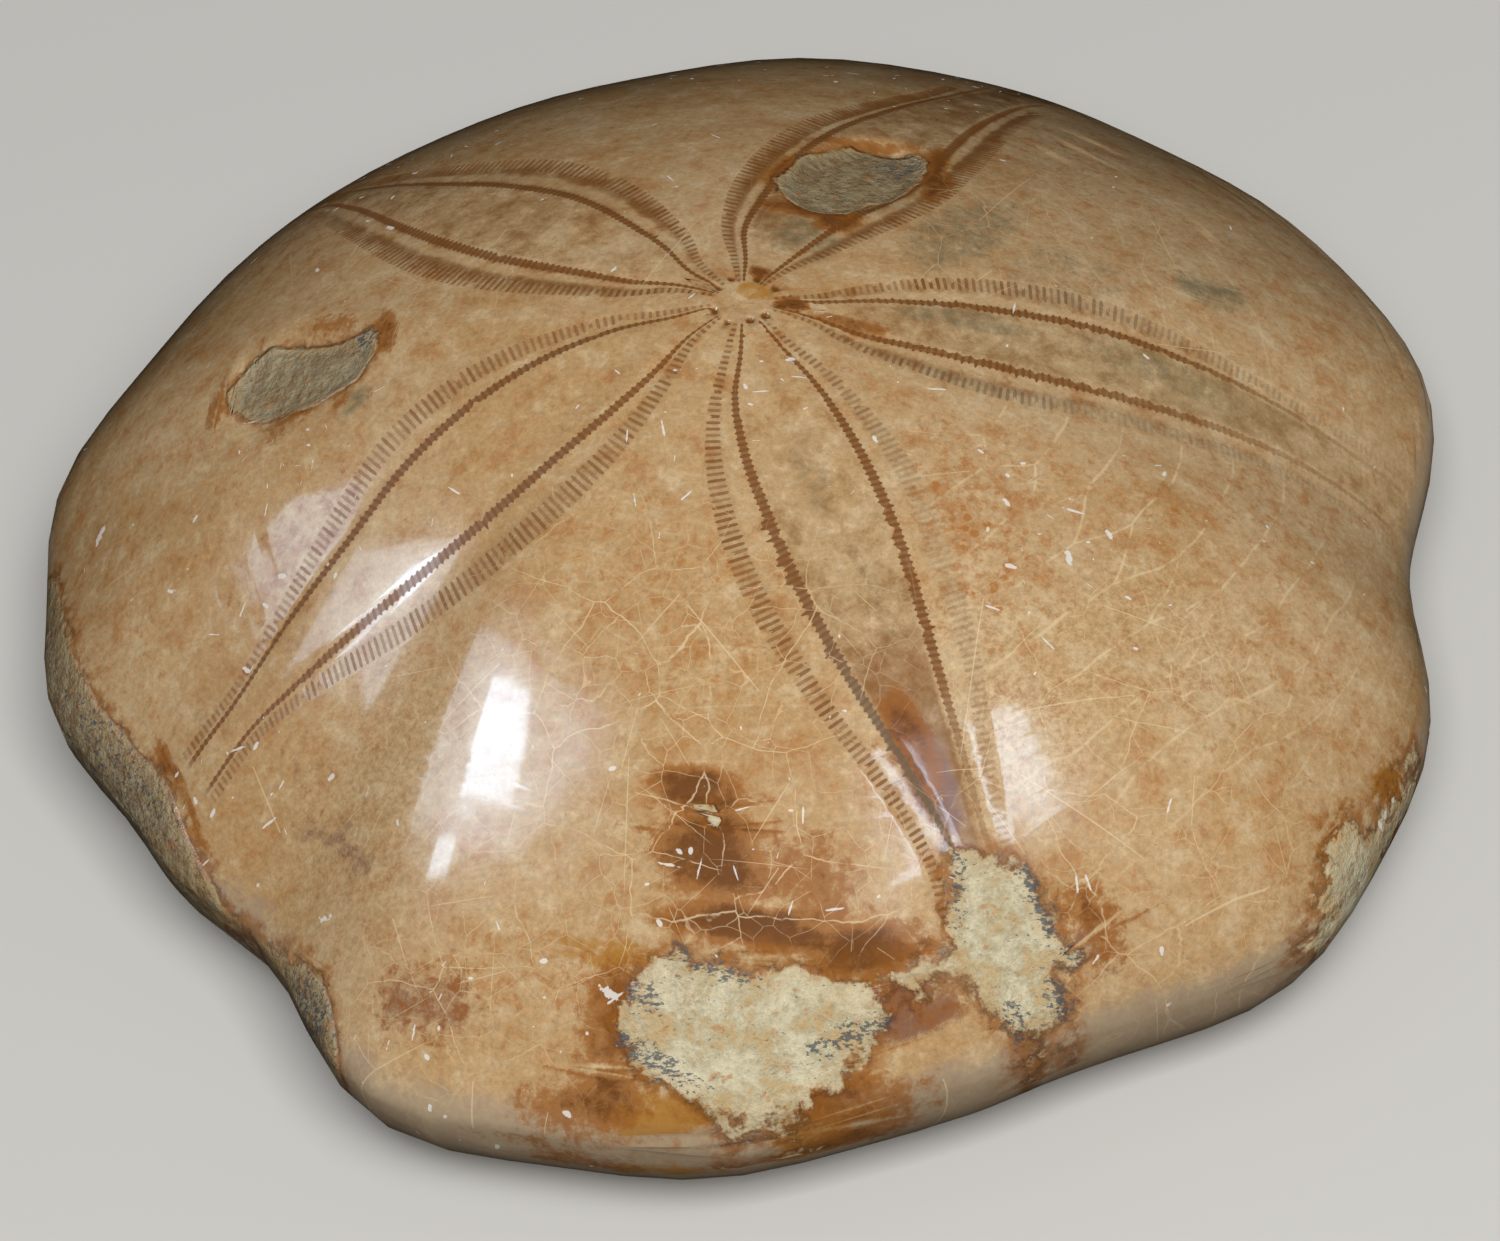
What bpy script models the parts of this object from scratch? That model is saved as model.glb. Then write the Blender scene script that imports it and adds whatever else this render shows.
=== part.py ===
"""A polished fossil sea urchin: one closed body with five petals, its scars and its underside.

Frame: +X is the animal's front, where the odd petal points, and +Z is up. The origin is in the
middle of the body's box, on the surface that it rests on. Lengths are in millimetres and angles
in degrees up to the last step, which writes metres.
"""

import math

import bmesh
import bpy
import numpy as np

MM = 0.001

NODE = "sea_urchin_test"
COLLECTION = "fossil_sea_urchin"

# The dome and its lobed rim
HEIGHT = 34.5
RIM_HEIGHT = 9.4
DOME_CENTRE = (-2.0, -0.45)
# The rim's distance from the dome's middle, every 10 degrees from +X
RIM_RADII = (
    49.9, 52.2, 54.1, 53.9, 53.7, 53.1, 53.1, 53.2, 53.1, 52.0, 50.3, 49.2,
    48.1, 47.5, 47.1, 46.7, 46.9, 47.8, 46.9, 46.6, 45.6, 43.8, 43.7, 43.2,
    46.7, 50.5, 50.6, 51.2, 51.1, 50.5, 50.7, 52.2, 55.0, 54.5, 53.8, 51.5,
)  # fmt: skip
RIM_SOFTNESS = 0.08
CROWN_POWER = 1.8
SHOULDER_POWER = 0.75
SHOULDER_SWING = 0.13
SHOULDER_TILT = 0.04
SHOULDER_TURN = 9.0

# The five petals, about the middle of the apical disc. Each row of pores is given by its
# bearing at these distances from that middle.
APEX = (3.3, 1.2)
STATIONS = (4.0, 8.0, 12.0, 18.0, 24.0, 30.0, 36.0, 42.0)
PETALS = (
    {  # front
        "outer_right": (-15.0, -21.3, -20.2, -16.9, -11.4, -7.9, -5.2, -4.3),
        "inner_right": (-10.0, -13.0, -10.9, -8.2, -5.6, -3.7, -2.3, -2.2),
        "inner_left": (8.0, 10.2, 10.2, 9.4, 8.3, 6.3, 4.6, 3.0),
        "outer_left": (14.0, 18.0, 19.2, 17.1, 13.8, 9.2, 6.0, 4.5),
    },
    {  # front left
        "outer_right": (54.2, 50.0, 49.2, 50.6, 55.5, 59.6, 62.7, 64.0),
        "inner_right": (61.0, 60.0, 59.2, 57.6, 60.8, 63.9, 65.5, 66.2),
        "inner_left": (92.0, 94.0, 89.2, 84.3, 80.0, 75.6, 72.9, 71.8),
        "outer_left": (101.3, 102.3, 98.2, 91.0, 85.1, 78.9, 74.8, 74.0),
    },
    {  # rear left
        "outer_right": (130.1, 122.6, 122.2, 124.5, 128.9, 135.0, 138.6, 139.8),
        "inner_right": (141.2, 134.4, 133.4, 133.8, 137.1, 140.0, 141.0, 141.4),
        "inner_left": (158.7, 163.0, 161.7, 159.1, 155.0, 150.5, 146.2, 143.8),
        "outer_left": (165.4, 171.8, 170.8, 167.2, 161.7, 155.4, 149.8, 145.6),
    },
    {  # rear right
        "outer_right": (192.6, 189.6, 190.6, 193.1, 197.9, 204.3, 209.0, 211.2),
        "inner_right": (198.9, 195.8, 196.8, 200.0, 203.9, 208.3, 210.6, 212.2),
        "inner_left": (224.2, 228.9, 229.0, 226.0, 222.7, 219.7, 217.3, 215.6),
        "outer_left": (230.0, 236.3, 238.0, 235.8, 230.7, 224.6, 219.3, 216.6),
    },
    {  # front right
        "outer_right": (261.5, 261.5, 263.9, 269.6, 275.7, 281.7, 287.0, 289.6),
        "inner_right": (272.4, 270.0, 273.0, 278.6, 282.9, 286.8, 290.2, 292.0),
        "inner_left": (305.7, 307.0, 305.6, 302.8, 299.8, 297.4, 295.9, 295.0),
        "outer_left": (313.0, 315.0, 313.3, 310.1, 305.4, 302.0, 298.4, 296.6),
    },
)
PORE_MARGIN = 0.8
CHANNEL_DEPTH = 0.42
PETAL_CROWN = 0.22
PETAL_START = 3.5
PETAL_END = 43.0

# The apical disc: a low ring round a small hollow
DISC_RADIUS = 2.3
DISC_RIM = 0.16

# Hollows where the stone was worn or broken and the filling shows: middle, half length,
# half width, bearing of the length, depth and width of the sloping edge
HOLLOWS = (
    {"at": (-28.4, 1.9), "half": (6.4, 4.0), "turn": -3.0, "depth": 0.75, "edge": 0.30},
    {"at": (9.6, 18.6), "half": (7.2, 4.4), "turn": 62.0, "depth": 0.80, "edge": 0.30},
    {"at": (7.0, -46.0), "half": (10.5, 3.8), "turn": 4.0, "depth": 0.45, "edge": 0.35},
    {"at": (21.2, -39.6), "half": (5.2, 3.2), "turn": -20.0, "depth": 0.40, "edge": 0.35},
    {"at": (2.6, -35.4), "half": (1.5, 1.1), "turn": 35.0, "depth": 0.35, "edge": 0.40},
)

# The underside: hollow in the middle, flat where it rests, with five furrows and a mouth
REST_REACH = 0.80
REST_WEAR = 0.10
HOLLOW_HEIGHT = 5.0
FURROW_DEPTH = 1.3
FURROW_HALF_WIDTH = 3.0
MOUTH = (5.0, 0.2)
MOUTH_RADIUS = 3.6
MOUTH_DEPTH = 2.6
MOUTH_CORNER = 0.10
LIP_RADIUS = 6.2
LIP_HEIGHT = 0.9

# The mesh: spokes in each gap between two petals, rings on the top, and the rings of the
# underside as shares of the way from the mouth to the rim
GAP_SPOKES = 7
TOP_RINGS = 38
UNDER_RINGS = (
    0.992, 0.975, 0.948, 0.912, 0.872, 0.830, 0.785, 0.735, 0.665,
    0.580, 0.480, 0.370, 0.270, 0.195, 0.150, 0.115, 0.085, 0.055, 0.028,
)  # fmt: skip

HONEY = (0.52, 0.29, 0.12, 1.0)
POLISH_ROUGHNESS = 0.22


def clear_scene():
    for item in list(bpy.data.objects):
        bpy.data.objects.remove(item, do_unlink=True)


def along(values, distance):
    """Values at STATIONS carried on a smooth curve, and held level past both ends."""
    stations = np.array(STATIONS)
    values = np.array(values)
    slopes = np.gradient(values, stations)
    slopes[0] = 0.0
    slopes[-1] = 0.0
    distance = min(max(distance, stations[0]), stations[-1])
    place = int(np.searchsorted(stations, distance, side="right")) - 1
    place = min(place, len(stations) - 2)
    width = stations[place + 1] - stations[place]
    t = (distance - stations[place]) / width
    from_value = values[place] * (1 + 2 * t) * (1 - t) ** 2
    from_slope = slopes[place] * width * t * (1 - t) ** 2
    to_value = values[place + 1] * t**2 * (3 - 2 * t)
    to_slope = slopes[place + 1] * width * t**2 * (t - 1)
    return float(from_value + from_slope + to_value + to_slope)


def smooth_step(value):
    value = min(max(value, 0.0), 1.0)
    return value * value * (3 - 2 * value)


def rim_radius(bearing):
    """The rim's distance from the dome's middle, a round curve through RIM_RADII."""
    waves = np.fft.rfft(RIM_RADII) / len(RIM_RADII)
    counts = np.arange(len(waves))
    weights = np.where((counts == 0) | (counts == len(RIM_RADII) // 2), 1.0, 2.0)
    turns = np.exp(1j * counts * math.radians(bearing))
    return float(np.sum(weights * np.real(waves * turns)))


def dome_place(x, y):
    """How far out (0 in the middle, 1 at the rim) and on which bearing a plan point lies."""
    from_x = x - DOME_CENTRE[0]
    from_y = y - DOME_CENTRE[1]
    bearing = math.degrees(math.atan2(from_y, from_x))
    return math.hypot(from_x, from_y) / rim_radius(bearing), bearing


def dome_height(x, y):
    reach, bearing = dome_place(x, y)
    turned = math.radians(bearing - SHOULDER_TURN)
    power = SHOULDER_POWER
    power += SHOULDER_SWING * math.sin(2 * turned) - SHOULDER_TILT * math.cos(turned)
    fall = max(1.0 - min(reach, 1.0) ** CROWN_POWER, 1e-9)
    softening = (1.0 + (RIM_SOFTNESS / fall) ** 2) ** ((power - 0.5) / 2)
    return RIM_HEIGHT + (HEIGHT - RIM_HEIGHT) * fall**power * softening


def rim_point(bearing):
    """The rim in plan, looking out from the apex."""
    heading = (math.cos(math.radians(bearing)), math.sin(math.radians(bearing)))
    inside, outside = 0.0, 2.0 * max(RIM_RADII)
    for _ in range(50):
        middle = (inside + outside) / 2
        place = [APEX[axis] + middle * heading[axis] for axis in (0, 1)]
        if dome_place(*place)[0] < 1.0:
            inside = middle
        else:
            outside = middle
    return place


def channel(bearing, distance, petal, side):
    """Position across one pore channel: 0 in its middle, 1 at its edges."""
    outer = along(petal[f"outer_{side}"], distance)
    inner = along(petal[f"inner_{side}"], distance)
    half = abs(outer - inner) / 2 + math.degrees(PORE_MARGIN / max(distance, PETAL_START))
    offset = (bearing - (outer + inner) / 2 + 180.0) % 360.0 - 180.0
    return abs(offset) / half


def petal_relief(x, y):
    """The pore channels, which lie a little low, and the field between them, a little high."""
    distance = math.hypot(x - APEX[0], y - APEX[1])
    bearing = math.degrees(math.atan2(y - APEX[1], x - APEX[0]))
    fade = smooth_step((distance - PETAL_START) / 5.0)
    fade *= smooth_step((PETAL_END - distance) / 6.0)
    relief = 0.0
    for petal in PETALS:
        for side in ("left", "right"):
            across = channel(bearing, distance, petal, side)
            if across < 1.0:
                relief -= CHANNEL_DEPTH * (1.0 - across**4)
        right = along(petal["inner_right"], distance)
        left = along(petal["inner_left"], distance)
        offset = (bearing - (left + right) / 2 + 180.0) % 360.0 - 180.0
        across = abs(offset) / max((left - right) / 2, 0.1)
        if across < 1.0:
            relief += PETAL_CROWN * (1.0 - across**2)
    return relief * fade


def disc_relief(x, y):
    distance = math.hypot(x - APEX[0], y - APEX[1]) / DISC_RADIUS
    return DISC_RIM * distance**2 * math.exp(1.0 - distance**2)


def hollow_relief(x, y):
    relief = 0.0
    for hollow in HOLLOWS:
        turn = math.radians(hollow["turn"])
        from_x = x - hollow["at"][0]
        from_y = y - hollow["at"][1]
        length = from_x * math.cos(turn) + from_y * math.sin(turn)
        width = from_y * math.cos(turn) - from_x * math.sin(turn)
        reach = math.hypot(length / hollow["half"][0], width / hollow["half"][1])
        relief -= hollow["depth"] * smooth_step((1.0 - reach) / hollow["edge"])
    return relief


def top_height(x, y):
    return dome_height(x, y) + petal_relief(x, y) + disc_relief(x, y) + hollow_relief(x, y)


def furrow_lines():
    """From the mouth to where each petal's line meets the rim."""
    return [rim_point((petal["inner_left"][-1] + petal["inner_right"][-1]) / 2) for petal in PETALS]


def furrow_height(x, y, ends):
    height = 0.0
    for end in ends:
        run = (end[0] - MOUTH[0], end[1] - MOUTH[1])
        length = math.hypot(*run)
        forward = ((x - MOUTH[0]) * run[0] + (y - MOUTH[1]) * run[1]) / length
        aside = ((y - MOUTH[1]) * run[0] - (x - MOUTH[0]) * run[1]) / length
        if forward > 0.0:
            start = smooth_step((forward - MOUTH_RADIUS) / 6.0)
            end_fade = smooth_step((length - forward) / 7.0)
            shape = math.exp(-((aside / FURROW_HALF_WIDTH) ** 2))
            height += FURROW_DEPTH * start * end_fade * shape
    return height


def mouth_height(x, y, ends):
    """A five-cornered mouth with a swollen lip on each side between two furrows."""
    from_mouth = math.hypot(x - MOUTH[0], y - MOUTH[1])
    bearing = math.atan2(y - MOUTH[1], x - MOUTH[0])
    toward = math.atan2(ends[0][1] - MOUTH[1], ends[0][0] - MOUTH[0])
    corner = math.cos(5 * (bearing - toward))
    pit_reach = from_mouth / (MOUTH_RADIUS * (1.0 + MOUTH_CORNER * corner))
    pit = MOUTH_DEPTH * smooth_step(1.6 - pit_reach)
    lip = LIP_HEIGHT * math.exp(-(((from_mouth - LIP_RADIUS) / 1.8) ** 2)) * (1.0 - corner) / 2
    return pit - lip


def under_height(x, y, ends):
    reach, _ = dome_place(x, y)
    if reach >= REST_REACH:
        out = min((reach - REST_REACH) / (1.0 - REST_REACH), 1.0)
        height = RIM_HEIGHT * (1.0 - math.sqrt(1.0 - out**2))
    else:
        height = HOLLOW_HEIGHT * (1.0 - (reach / REST_REACH) ** 2) ** 2
    height += furrow_height(x, y, ends) + mouth_height(x, y, ends) - REST_WEAR * (1.0 - reach**8)
    return max(height, 0.0)


def spoke_bearings(distance):
    """Bearings of all the mesh's spokes at one distance from the apex, once round."""
    margin = math.degrees(PORE_MARGIN / max(distance, PETAL_START))
    bearings = []
    for index, petal in enumerate(PETALS):
        following = PETALS[(index + 1) % len(PETALS)]
        turn = 360.0 if index == len(PETALS) - 1 else 0.0
        right = along(petal["inner_right"], distance)
        left = along(petal["inner_left"], distance)
        edge = min(margin, (left - right) / 4)
        outer = along(petal["outer_left"], distance)
        next_outer = along(following["outer_right"], distance) + turn
        next_right = along(following["inner_right"], distance) + turn
        next_left = along(following["inner_left"], distance) + turn
        next_edge = min(margin, (next_left - next_right) / 4)
        gap_edge = min(margin, (next_outer - outer) / 4)
        bearings.append((left + right) / 2)
        bearings.append(left - edge)
        bearings.append(left)
        bearings.append(outer)
        bearings.extend(np.linspace(outer + gap_edge, next_outer - gap_edge, GAP_SPOKES + 2))
        bearings.append(next_outer)
        bearings.append(next_right)
        bearings.append(next_right + next_edge)
    return bearings


def top_reaches():
    """Rings of the top, closer together on the apical disc and towards the rim."""
    steps = np.arange(1, TOP_RINGS + 1) / TOP_RINGS
    return 1.0 - (1.0 - steps) ** 1.45 * (1.0 - 0.35 * steps * (1.0 - steps))


def body_rings():
    """Every ring of points, from the first round the apex to the last round the mouth."""
    rim = [rim_point(bearing) for bearing in spoke_bearings(STATIONS[-1])]
    lengths = [math.dist(APEX, point) for point in rim]
    rings = []
    for reach in top_reaches():
        ring = []
        for spoke, length in enumerate(lengths):
            distance = reach * length
            bearing = math.radians(spoke_bearings(distance)[spoke])
            x = APEX[0] + distance * math.cos(bearing)
            y = APEX[1] + distance * math.sin(bearing)
            ring.append((x, y, top_height(x, y)))
        rings.append(ring)
    ends = furrow_lines()
    for reach in UNDER_RINGS:
        ring = []
        for point in rim:
            x = MOUTH[0] + reach * (point[0] - MOUTH[0])
            y = MOUTH[1] + reach * (point[1] - MOUTH[1])
            ring.append((x, y, under_height(x, y, ends)))
        rings.append(ring)
    return rings


def shape_body(mesh):
    """A sphere whose rings and spokes are laid on the body's surface."""
    rings = body_rings()
    spokes = len(rings[0])
    bm = bmesh.new()
    bmesh.ops.create_uvsphere(bm, u_segments=spokes, v_segments=len(rings) + 1, radius=1.0)
    for vertex in bm.verts:
        from_top = math.acos(max(-1.0, min(1.0, vertex.co.z)))
        ring = round(from_top / math.pi * (len(rings) + 1))
        if ring == 0:
            place = (*APEX, top_height(*APEX))
        elif ring > len(rings):
            place = (*MOUTH, under_height(*MOUTH, furrow_lines()))
        else:
            turn = math.atan2(vertex.co.y, vertex.co.x) / (2 * math.pi) * spokes
            place = rings[ring - 1][round(turn) % spokes]
        vertex.co = [value * MM for value in place]
    bmesh.ops.triangulate(bm, faces=bm.faces)
    bm.to_mesh(mesh)
    bm.free()
    mesh.shade_smooth()


def stone_material():
    material = bpy.data.materials.new("polished_calcite")
    material.use_nodes = True
    shader = material.node_tree.nodes["Principled BSDF"]
    shader.inputs["Base Color"].default_value = HONEY
    shader.inputs["Roughness"].default_value = POLISH_ROUGHNESS
    shader.inputs["Metallic"].default_value = 0.0
    return material


def build_test():
    mesh = bpy.data.meshes.new(NODE)
    shape_body(mesh)
    mesh.materials.append(stone_material())
    test = bpy.data.objects.new(NODE, mesh)
    group = bpy.data.collections.new(COLLECTION)
    bpy.context.scene.collection.children.link(group)
    group.objects.link(test)


def main():
    clear_scene()
    build_test()


if __name__ == "__main__":
    main()
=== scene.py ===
"""Looks of a polished fossil sea urchin: its finely shaped test, its stone, and the studio.

Frame: +X is the animal's front, where the odd petal points, and +Z is up. The origin is in the
middle of the body's box, on the surface that it rests on. Shapes are worked out in millimetres
and degrees, and written to the mesh in metres.
"""

from __future__ import annotations

import logging
import math
from collections.abc import Callable
from dataclasses import dataclass, field
from enum import Enum

import bpy
import numpy as np
from mathutils import Matrix, Quaternion, Vector, noise

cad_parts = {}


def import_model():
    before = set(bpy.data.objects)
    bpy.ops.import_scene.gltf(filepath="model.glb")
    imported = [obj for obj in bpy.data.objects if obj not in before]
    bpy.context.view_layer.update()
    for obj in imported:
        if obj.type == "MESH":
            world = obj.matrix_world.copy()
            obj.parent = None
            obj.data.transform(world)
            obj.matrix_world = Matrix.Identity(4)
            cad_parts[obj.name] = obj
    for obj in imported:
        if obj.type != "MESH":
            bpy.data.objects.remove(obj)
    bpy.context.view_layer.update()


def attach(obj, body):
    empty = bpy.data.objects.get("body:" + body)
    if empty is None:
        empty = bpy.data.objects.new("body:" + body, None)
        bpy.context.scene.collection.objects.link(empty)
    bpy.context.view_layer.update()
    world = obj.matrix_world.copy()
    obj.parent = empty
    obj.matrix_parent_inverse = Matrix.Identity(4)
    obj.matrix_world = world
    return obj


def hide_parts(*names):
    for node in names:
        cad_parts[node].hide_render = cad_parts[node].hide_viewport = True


LOG = logging.getLogger("fossil_sea_urchin")
MM = 0.001
NODE = "sea_urchin_test"
# Lanes across half a petal's field and across a zone of pores, and the step in the lanes map
# from one half petal to the next
FIELD_LANES = 4
ZONE_LANES = 7
HALF_PETAL_STEP = 40.0
# The lanes in whose middle the slits and the pores lie, counted from a petal's middle line
PORE_LANE = 6.5
SLIT_LANE = 8.5
PORES_IN_ROW = 100
LANES_EACH_SIDE = 19
# How finely a pore row and a lane are measured along their length
PATH_SAMPLES = 600
SPREAD_SAMPLES = 400

Array = np.ndarray
Point = tuple[float, float]
Colour = tuple[float, float, float, float]


def smooth_step(value: Array) -> Array:
    """Eases 0 to 1 with a level start and end."""
    value = np.clip(value, 0.0, 1.0)
    return value * value * (3 - 2 * value)


def turned_by(degrees: Array) -> tuple[Array, Array]:
    """Gives the cosine and the sine of an angle in degrees."""
    return np.cos(np.radians(degrees)), np.sin(np.radians(degrees))


def angle_between(first: Array, second: Array) -> Array:
    """Gives first minus second in degrees, from -180 to 180."""
    return (first - second + 180.0) % 360.0 - 180.0


def seen(red: int, green: int, blue: int) -> Colour:
    """Turns a colour as a screen shows it, 0 to 255, into the linear one that a shader takes."""
    shares = [value / 255.0 for value in (red, green, blue)]
    linear = [s / 12.92 if s <= 0.04045 else ((s + 0.055) / 1.055) ** 2.4 for s in shares]
    return (linear[0], linear[1], linear[2], 1.0)


class Side(Enum):
    """The two sides of a petal, looking out from the apex."""

    RIGHT = 1
    LEFT = -1


class Mark(Enum):
    """What colours or wears the stone in places, or paints sheen on it, numbered as the marks
    attributes hold them.
    """

    DARK_BROWN = 0
    GREY_GREEN = 1
    PURPLE = 2
    RUST = 3
    MUSTARD = 4
    BLUE_SPECKS = 5
    VEINS = 6
    CHIPS = 7
    PLATES = 8
    SPOTS = 9
    PAINTED_SHEEN = 10
    GREY_FILLING = 11


@dataclass(frozen=True)
class Dome:
    """The smooth top of the body and the rim round it."""

    height: float = 34.5
    rim_height: float = 9.4
    centre: Point = (-2.0, -0.45)
    # The rim's distance from the centre, every 10 degrees from +X
    rim_radii: tuple[float, ...] = (
        49.9, 52.2, 54.1, 53.9, 53.7, 53.1, 53.1, 53.2, 53.1, 52.0, 50.3, 49.2,
        48.1, 47.5, 47.1, 46.7, 46.9, 47.8, 46.9, 46.6, 45.6, 43.8, 43.7, 43.2,
        46.7, 50.5, 50.6, 51.2, 51.1, 50.5, 50.7, 52.2, 55.0, 54.5, 53.8, 51.5,
    )  # fmt: skip
    rim_softness: float = 0.08
    crown_power: float = 1.8
    shoulder_power: float = 0.75
    shoulder_swing: float = 0.13
    shoulder_tilt: float = 0.04
    shoulder_turn: float = 9.0

    def rim_radius(self, bearing: Array) -> Array:
        """Gives the rim's distance from the centre, a round curve through rim_radii.

        Args:
            bearing: Angles from +X, in degrees.

        Returns:
            Distances in millimetres.
        """
        count = len(self.rim_radii)
        waves = np.fft.rfft(self.rim_radii) / count
        turns = np.arange(len(waves))
        weights = np.where((turns == 0) | (turns == count // 2), 1.0, 2.0)
        phase = np.exp(1j * np.radians(np.asarray(bearing, float))[..., None] * turns)
        return (weights * np.real(waves * phase)).sum(-1)

    def place(self, x: Array, y: Array) -> tuple[Array, Array]:
        """Gives how far out a plan point lies, from 0 to 1 at the rim, and its bearing."""
        from_x, from_y = x - self.centre[0], y - self.centre[1]
        bearing = np.degrees(np.arctan2(from_y, from_x))
        return np.hypot(from_x, from_y) / self.rim_radius(bearing), bearing

    def height_at(self, x: Array, y: Array) -> Array:
        """Gives the height of the smooth top over a plan point."""
        reach, bearing = self.place(x, y)
        turn = np.radians(bearing - self.shoulder_turn)
        power = self.shoulder_power + self.shoulder_swing * np.sin(2 * turn)
        power = power - self.shoulder_tilt * np.cos(turn)
        fall = np.maximum(1.0 - np.minimum(reach, 1.0) ** self.crown_power, 1e-9)
        softening = (1.0 + (self.rim_softness / fall) ** 2) ** ((power - 0.5) / 2)
        return self.rim_height + (self.height - self.rim_height) * fall**power * softening

    def rim_distance(self, origin: Point, bearing: Array) -> Array:
        """Gives how far the rim lies from a plan point inside it.

        Args:
            origin: The plan point to look out from.
            bearing: Directions to look in, in degrees.

        Returns:
            Distances in millimetres.
        """
        across, up = turned_by(bearing)
        inside = np.zeros_like(across)
        outside = np.full_like(across, 2.0 * max(self.rim_radii))
        for _ in range(40):
            middle = (inside + outside) / 2
            within = self.place(origin[0] + middle * across, origin[1] + middle * up)[0] < 1.0
            inside = np.where(within, middle, inside)
            outside = np.where(within, outside, middle)
        return middle


@dataclass(frozen=True)
class Row:
    """One row of pores: its bearings, and how its slits look.

    bearings are at the petals' stations. strength and grey are at the same stations, from 0 to 1:
    how deeply the row is stained, and how far the stain is grey and not brown.
    """

    bearings: tuple[float, ...]
    length: float = 1.0
    strength: tuple[float, ...] = (1.0,) * 8
    grey: tuple[float, ...] = (0.0,) * 8


@dataclass(frozen=True)
class Petal:
    """One petal: its outer and inner rows on each side."""

    outer_right: Row
    inner_right: Row
    inner_left: Row
    outer_left: Row
    # How grey and how brown the field between the inner rows is, at the stations
    field_grey: tuple[float, ...] = (0.0,) * 8
    field_brown: tuple[float, ...] = (0.0,) * 8
    # How brown the two channels are
    channel_brown: tuple[float, ...] = (0.1,) * 8

    def rows(self, side: Side) -> tuple[Row, Row]:
        """Gives the outer and the inner row of one side."""
        if side is Side.RIGHT:
            return self.outer_right, self.inner_right
        return self.outer_left, self.inner_left


FRONT = Petal(
    Row(
        (-15.0, -21.3, -20.2, -16.9, -11.4, -7.9, -5.2, -4.3),
        strength=(0.9, 0.9, 1.0, 0.9, 0.45, 0.4, 0.35, 0.3),
        grey=(0.0, 0.2, 0.5, 0.9, 0.9, 1.0, 1.0, 1.0),
    ),
    Row(
        (-10.0, -13.0, -10.9, -8.2, -5.6, -3.7, -2.3, -2.2),
        strength=(1.0, 1.0, 1.0, 1.0, 0.9, 0.75, 0.5, 0.4),
    ),
    Row(
        (8.0, 10.2, 10.2, 9.4, 8.3, 6.3, 4.6, 3.0),
        strength=(1.0, 0.9, 1.0, 1.0, 1.0, 0.9, 0.5, 0.3),
    ),
    Row(
        (14.0, 18.0, 19.2, 17.1, 13.8, 9.2, 6.0, 4.5),
        strength=(0.9, 0.8, 1.0, 1.0, 0.8, 0.6, 0.5, 0.3),
        grey=(0.0, 0.0, 0.0, 0.2, 0.6, 0.8, 0.9, 1.0),
    ),
    field_grey=(0.1, 0.3, 0.4, 0.45, 0.45, 0.55, 0.5, 0.3),
    field_brown=(0.2, 0.3, 0.3, 0.25, 0.2, 0.1, 0.1, 0.1),
    channel_brown=(0.4, 0.4, 0.35, 0.35, 0.3, 0.2, 0.1, 0.1),
)
FRONT_LEFT = Petal(
    Row((54.2, 50.0, 49.2, 50.6, 55.5, 59.6, 62.7, 64.0)),
    Row((61.0, 60.0, 59.2, 57.6, 60.8, 63.9, 65.5, 66.2)),
    Row((92.0, 94.0, 89.2, 84.3, 80.0, 75.6, 72.9, 71.8)),
    Row((101.3, 102.3, 98.2, 91.0, 85.1, 78.9, 74.8, 74.0)),
    field_grey=(0.2, 0.3, 0.4, 0.4, 0.3, 0.3, 0.3, 0.2),
    field_brown=(0.2, 0.5, 0.7, 0.5, 0.4, 0.5, 0.6, 0.6),
    channel_brown=(0.3, 0.6, 0.7, 0.7, 0.7, 0.8, 0.8, 0.7),
)
REAR_LEFT = Petal(
    Row((130.1, 122.6, 122.2, 124.5, 128.9, 135.0, 138.6, 139.8), length=1.1),
    Row((141.2, 134.4, 133.4, 133.8, 137.1, 140.0, 141.0, 141.4)),
    Row((158.7, 163.0, 161.7, 159.1, 155.0, 150.5, 146.2, 143.8)),
    Row((165.4, 171.8, 170.8, 167.2, 161.7, 155.4, 149.8, 145.6), length=1.1),
    field_grey=(0.1, 0.2, 0.2, 0.3, 0.3, 0.3, 0.2, 0.2),
    field_brown=(0.1, 0.2, 0.25, 0.3, 0.3, 0.3, 0.3, 0.3),
    channel_brown=(0.2, 0.4, 0.6, 0.6, 0.6, 0.6, 0.5, 0.4),
)
REAR_RIGHT = Petal(
    Row(
        (192.6, 189.6, 190.6, 193.1, 197.9, 204.3, 209.0, 211.2),
        strength=(0.8, 0.8, 0.85, 0.9, 0.9, 0.85, 0.8, 0.8),
    ),
    Row((198.9, 195.8, 196.8, 200.0, 203.9, 208.3, 210.6, 212.2)),
    Row((224.2, 228.9, 229.0, 226.0, 222.7, 219.7, 217.3, 215.6)),
    Row(
        (230.0, 236.3, 238.0, 235.8, 230.7, 224.6, 219.3, 216.6),
        length=1.4,
        strength=(0.9, 0.9, 0.85, 0.85, 0.9, 0.9, 0.85, 0.8),
    ),
    field_brown=(0.1, 0.1, 0.1, 0.1, 0.1, 0.15, 0.2, 0.2),
)
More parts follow.
